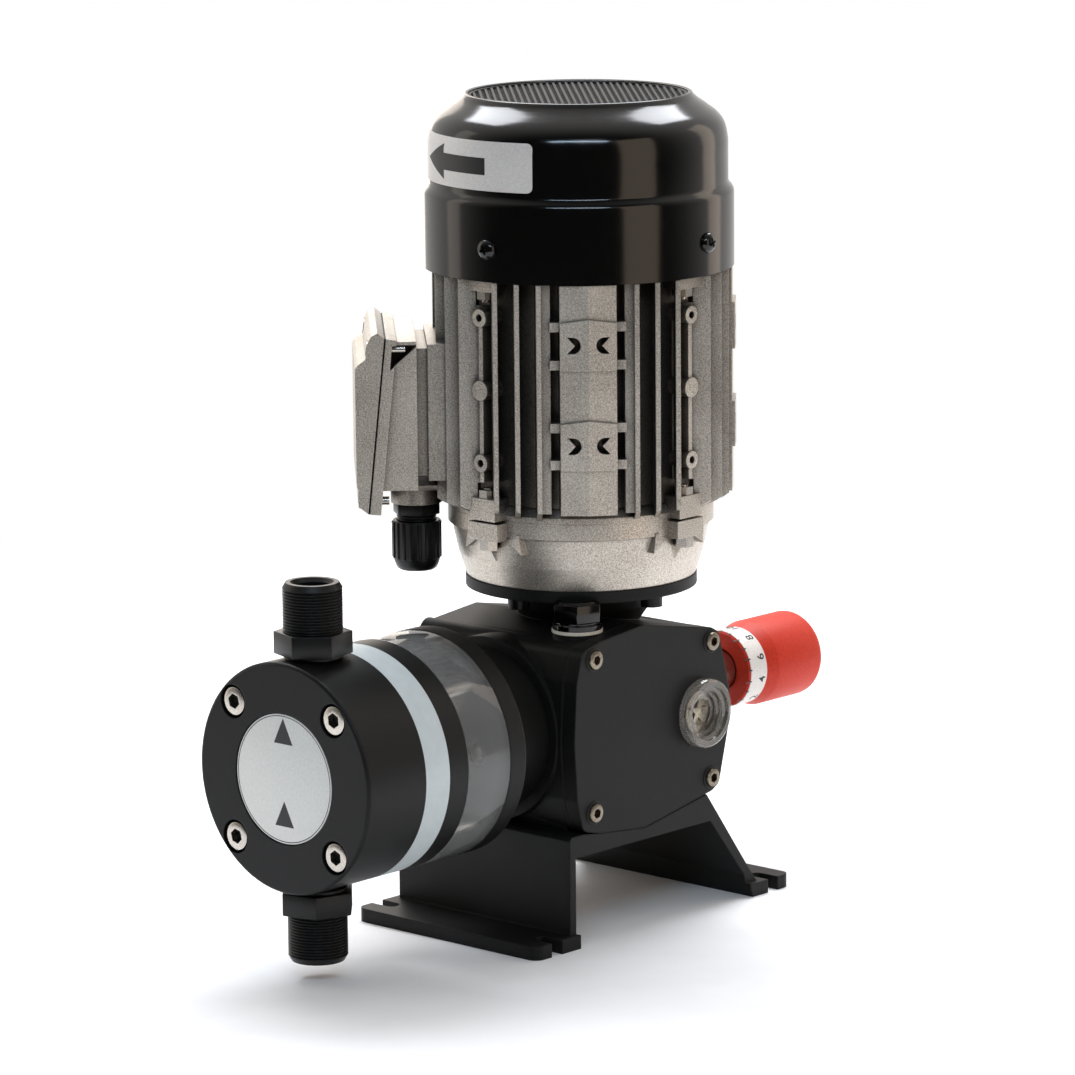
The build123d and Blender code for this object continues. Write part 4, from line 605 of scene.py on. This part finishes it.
NUT_LOW, NUT_HIGH = (corner[Z] for corner in reach("cable_gland_nut"))
NUT_LINE = [(6.5, NUT_LOW), (7.8, NUT_LOW), (9.0, 159.0), (9.8, 160.6), (10.4, 162.2), (10.7, 163.4),
            (10.7, NUT_HIGH), (9.2, NUT_HIGH), (9.2, 170), (6.5, 166)]
RIB_COUNT = 18
RIB_RING_R = 10.6
RIB_FOOT_Z = 163.6
RIB_HEIGHT = 16.8
ribs = []
for k in range(RIB_COUNT):
    turn = 360 / RIB_COUNT * k
    x, y = GLAND_X + RIB_RING_R * cos(radians(turn)), GLAND_Y + RIB_RING_R * sin(radians(turn))
    ribs.append(prism(rectangle(0.75, 0.9), RIB_HEIGHT, (x, y, RIB_FOOT_Z), UP, turn=turn, round_mm=0.4))
piece("gland_nut", [spun(NUT_LINE, GLAND, UP, GLAND_STEPS)] + ribs, nylon_black,
      stands_for=("cable_gland_nut",))

# ---- gearbox: cover screws, sight glass, oil plug -----------------------------------------------------
COVER_SCREWS = ((-45.5, 129.5), (34.8, 125), (-46, 59.5), (34.5, 61.3))     # y and z
LOW_CAP = [(0, -12), (2.4, -12), (2.4, 0), (4.25, 0), (4.25, 1.2), (4.0, 1.6), (3.5, 1.8), (0, 1.8)]
# a thin dark ring round each head: painted shade, as if of a counterbore round the head
COUNTERBORE_SHADE_RING = [(4.4, 0), (5.5, 0), (5.5, 0.25), (5.0, 0.5), (4.4, 0.5)]
screws = []
sockets = []
shade_rings = []
for y, z in COVER_SCREWS:
    screws.append(spun(LOW_CAP, (COVER_FACE_X, y, z), SIDE, SMALL_STEPS, closed=False))
    # Screws stop at any angle, so each socket is turned by a number of its own.
    sockets.append(prism(hexagon(4.0), 4, (COVER_FACE_X - 1.4, y, z), SIDE, turn=y))
    shade_rings.append(spun(COUNTERBORE_SHADE_RING, (COVER_FACE_X, y, z), SIDE, SMALL_STEPS))
piece("cover_cap_screws", screws, oiled_steel, stands_for=("side_cover_screws",),
      cutters=sockets)
# painted shade: dark rings round the cover screw heads
piece("cover_screw_shade_rings", shade_rings, rubber)

WINDOW_Y = middle("sight_glass", Y)
WINDOW = (COVER_FACE_X, WINDOW_Y, AXIS_Z)
GLASS_LINE = [(6.2, -3), (10, -3), (10, 0), (12.5, 0), (12.5, 1), (16, 1), (16, 4.6), (15.6, 5.4), (14.8, 6),
              (12.6, 6), (12.0, 4.6), (10.4, 4.2), (9.8, 2.6), (8.4, 2.2), (7.8, 0.8), (6.2, 0.6)]
REFLECTOR_LINE = [(0, -2.6), (9.8, -2.6), (9.8, -2.1), (0, -2.1)]
piece("sight_glass_rings", [spun(GLASS_LINE, WINDOW, SIDE)], oil_glass,
      stands_for=("sight_glass",), sharp=25)
pressed_star = prism(star(5, 6.4, 2.6), 1.1, (COVER_FACE_X - 2.0, WINDOW_Y, AXIS_Z), SIDE, turn=12,
                     round_mm=0.2)
piece("sight_glass_reflector", [spun(REFLECTOR_LINE, WINDOW, SIDE, closed=False), pressed_star], reflector)

PLUG_X = middle("oil_fill_plug", X)
PLUG_Y = middle("oil_fill_plug", Y)
PLUG = (PLUG_X, PLUG_Y, 140.0)
PLUG_STEPS = 64
PLUG_LINE = [(5.2, -11), (7.9, -11), (7.9, 0), (11.2, 0), (11.2, 2.2), (10.6, 2.8), (10.2, 2.9), (10.2, 3.4),
             (5.2, 3.4)]
RIM_LINE = [(6.9, 11.6), (9.4, 11.6), (8.9, 12.5), (7.8, 12.8), (6.9, 12.4)]
plug_hex = prism(hexagon(20.5), 8.4, (PLUG_X, PLUG_Y, 143.4), UP, turn=12, round_mm=0.6)
plug_well = spun([(0, 5), (6.4, 5), (7.0, 13), (0, 13)], PLUG, UP, PLUG_STEPS, closed=False)
piece("oil_plug", [spun(PLUG_LINE, PLUG, UP, PLUG_STEPS), plug_hex], enamel_black,
      stands_for=("oil_fill_plug",), cutters=[plug_well], sharp=25)
piece("oil_plug_rim", [spun(RIM_LINE, PLUG, UP, PLUG_STEPS)], enamel_black, sharp=50)

# ---- stroke knob and its scale --------------------------------------------------------------------------
KNOB_R = reach("knob")[1][X]
KNOB_FOOT_Y, KNOB_END_Y = (corner[Y] for corner in reach("knob"))
SHAFT_R = 4.95
CAVITY_R = 10.0
KNOB_STEPS = 128
KNOB_AXIS = (0, 0, AXIS_Z)
KNOB_LINE = [(0, 150.5), (SHAFT_R, 150.5), (SHAFT_R, 140), (CAVITY_R, 140), (CAVITY_R, KNOB_FOOT_Y),
             (17.4, KNOB_FOOT_Y), (18, 103.6), (18, 115.6), (18.3, 116.6), (20.0, 121.6), (KNOB_R, 123),
             (KNOB_R, 151.6), (20.0, 153.4), (19.1, 154.8), (17.8, 155.7), (16.3, KNOB_END_Y),
             (0, KNOB_END_Y)]
piece("knob_grip", [spun(KNOB_LINE, KNOB_AXIS, BACK, steps=KNOB_STEPS, closed=False)], knob_red,
      body="stroke_knob", stands_for=("knob",), sharp=40)

SCALE_R = 18.35
SCALE_IN = 18.02
scale_foot, scale_end = (corner[Y] for corner in reach("knob_scale"))
SCALE_LINE = [(SCALE_IN, scale_foot), (SCALE_R, scale_foot), (SCALE_R, scale_end), (SCALE_IN, scale_end)]
piece("knob_scale_band", [spun(SCALE_LINE, KNOB_AXIS, BACK, steps=KNOB_STEPS)], foil,
      body="stroke_knob", stands_for=("knob_scale",))


def on_band(mark, phi, y):
    """Lays a flat mark on the scale band, its top towards the pump; phi in degrees from +X up to +Z."""
    out = Vector((cos(radians(phi)), 0, sin(radians(phi))))
    top = Vector(FORWARD)
    turn = Matrix((top.cross(out), top, out)).transposed().to_4x4()
    place = Vector((SCALE_R * out.x, y, AXIS_Z + SCALE_R * out.z)) * MM
    bmesh.ops.transform(mark, matrix=Matrix.Translation(place) @ turn, verts=mark.verts[:])
    bmesh.ops.recalc_face_normals(mark, faces=mark.faces[:])
    return mark


def number(text, height_mm):
    """Printed figure as a thin solid."""
    words = bpy.data.curves.new("scale_number", "FONT")
    words.body = text
    words.size = height_mm * 1.4 * MM       # the font's capitals are 1/1.4 of its size
    words.align_x = "CENTER"
    words.align_y = "CENTER"
    words.offset = 0.05 * MM
    words.extrude = INK_T * MM
    holder = shown("scale_number", words)
    mesh = bpy.data.meshes.new_from_object(holder.evaluated_get(bpy.context.evaluated_depsgraph_get()))
    bpy.data.objects.remove(holder)
    bm = bmesh.new()
    bm.from_mesh(mesh)
    bpy.data.meshes.remove(mesh)
    return bm


LAST_MARK = 15
LAST_FIGURE = 10
DEGREES_PER_UNIT = 17.0
SIX_AT = 22.0                   # where the figure 6 stands at rest
FIGURE_MM = 4.6
FIGURE_Y = 112.4
TICK_FOOT_Y = 104.8
LONG_TICK, SHORT_TICK = 4.6, 3.0
marks = []
for value in range(LAST_MARK + 1):
    phi = SIX_AT + (value - 6) * DEGREES_PER_UNIT
    numbered = value % 2 == 0 and value <= LAST_FIGURE
    if numbered:
        marks.append(on_band(number(str(value), FIGURE_MM), phi, FIGURE_Y))
    length = LONG_TICK if numbered else SHORT_TICK
    tick = prism(rectangle(0.3, length / 2, -length / 2), INK_T, (0, 0, 0), UP)
    marks.append(on_band(tick, phi, TICK_FOOT_Y))
piece("scale_print", marks, ink_black, body="stroke_knob")

# ---- floor, light and camera ----------------------------------------------------------------------------
FLOOR_R = 0.95                  # metres, as are all the places below
floor_material = textured("pale_studio_floor", "#f4f4f5", "#f8f8f9", 60.0, 0.9, bump_mm=0.0, specular=0.1)
disc = bmesh.new()
bmesh.ops.create_circle(disc, cap_ends=True, segments=ROUND_STEPS, radius=FLOOR_R)
floor_mesh = bpy.data.meshes.new("studio_floor")
disc.to_mesh(floor_mesh)
disc.free()
floor_mesh.materials.append(floor_material)
shown("studio_floor", floor_mesh)

LAMPS_AIM = Vector((0, 0, 0.18))


def soft_light(name, azimuth, distance, height, size, radiance, colour):
    """Rectangular lamp round the pump, aimed at its middle; radiance is what a mirror would see."""
    place = Vector((distance * sin(radians(azimuth)), -distance * cos(radians(azimuth)), height))
    lamp = bpy.data.lights.new(name, "AREA")
    lamp.shape = "RECTANGLE"
    lamp.size, lamp.size_y = size
    lamp.energy = radiance * pi * size[0] * size[1]
    lamp.color = linear(colour)[:3]
    holder = shown(name, lamp)
    holder.location = place
    holder.rotation_euler = (LAMPS_AIM - place).to_track_quat("-Z", "Y").to_euler()


soft_light("overhead_box", 222, 0.75, 1.5, (1.7, 0.7), 11.0, "#f6f9ff")
soft_light("window_band", 42, 1.7, 1.45, (1.5, 0.1), 22.0, "#cfe8ff")
soft_light("right_strip", 88, 1.5, 0.45, (0.75, 1.5), 1.3, "#ffe8d2")
soft_light("left_strip", -62, 1.5, 0.5, (0.4, 1.5), 0.9, "#fff2e4")
soft_light("far_left_edge", -125, 1.5, 0.6, (0.5, 1.2), 1.6, "#fff2e4")
soft_light("far_right_edge", 160, 1.5, 0.6, (0.5, 1.2), 1.3, "#ffe8d2")
soft_light("front_fill", 50, 1.7, 1.5, (0.7, 0.5), 1.0, "#ffffff")

# White backdrop to the eye; round the pump the room is dark behind the camera and bright behind the pump.
DARK_SIDE_DIP = -0.35           # the dark side reaches below the horizon
world = bpy.data.worlds.new("studio")
bpy.context.scene.world = world
world.use_nodes = True
room = world.node_tree
room.nodes.clear()
toward = add(room, "ShaderNodeTexCoord").outputs["Generated"]
facing_camera = add(room, "ShaderNodeVectorMath", {"operation": "DOT_PRODUCT"})
room.links.new(toward, facing_camera.inputs[0])
facing_camera.inputs[1].default_value = (*outward(VIEW_AZIMUTH)[:2], DARK_SIDE_DIP)
level = add(room, "ShaderNodeMapRange", {"interpolation_type": "SMOOTHSTEP"},
            Value=facing_camera.outputs["Value"], From_Min=-0.7, From_Max=0.5, To_Min=0.9, To_Max=0.05)
surroundings = add(room, "ShaderNodeBackground", Color=linear("#f9f6f2"), Strength=level.outputs["Result"])
backdrop = add(room, "ShaderNodeBackground", Color=linear("#ffffff"), Strength=1.0)
seen = add(room, "ShaderNodeLightPath").outputs["Is Camera Ray"]
either = add(room, "ShaderNodeMixShader", Fac=seen)
room.links.new(surroundings.outputs[0], either.inputs[1])
room.links.new(backdrop.outputs[0], either.inputs[2])
sky = add(room, "ShaderNodeOutputWorld")
room.links.new(either.outputs[0], sky.inputs["Surface"])

# Camera: it looks at a point beside the motor's axis, from far off through a long lens.
CAMERA_PITCH = radians(10.91)
CAMERA_ROLL = radians(-0.51)
CAMERA_DISTANCE = 2.51185
AIM_RIGHT = -0.01989            # how far the point lies to the right of the axis, as the camera sees it
AIM_HEIGHT = 0.17125
FRAME_PX = 1075
FOCAL_PX = 5500                 # focal length in the frame's pixels
SENSOR = 36
facing_azimuth = radians(VIEW_AZIMUTH)
right = Vector((cos(facing_azimuth), sin(facing_azimuth), 0))
back = Vector((sin(facing_azimuth) * cos(CAMERA_PITCH), -cos(facing_azimuth) * cos(CAMERA_PITCH),
               sin(CAMERA_PITCH)))
up = back.cross(right)
tilted_right = cos(CAMERA_ROLL) * right + sin(CAMERA_ROLL) * up
tilted_up = cos(CAMERA_ROLL) * up - sin(CAMERA_ROLL) * right
aim = right * AIM_RIGHT + Vector((0, MOTOR_Y * MM, AIM_HEIGHT))
view = Matrix((tilted_right, tilted_up, back)).transposed().to_4x4()
view.translation = aim + back * CAMERA_DISTANCE
camera = shown("camera", bpy.data.cameras.new("camera"))
camera.data.sensor_width = SENSOR
camera.data.lens = SENSOR * FOCAL_PX / FRAME_PX
camera.data.clip_start = 0.1
camera.matrix_world = view
bpy.context.scene.camera = camera
bpy.context.scene.view_settings.view_transform = "Standard"
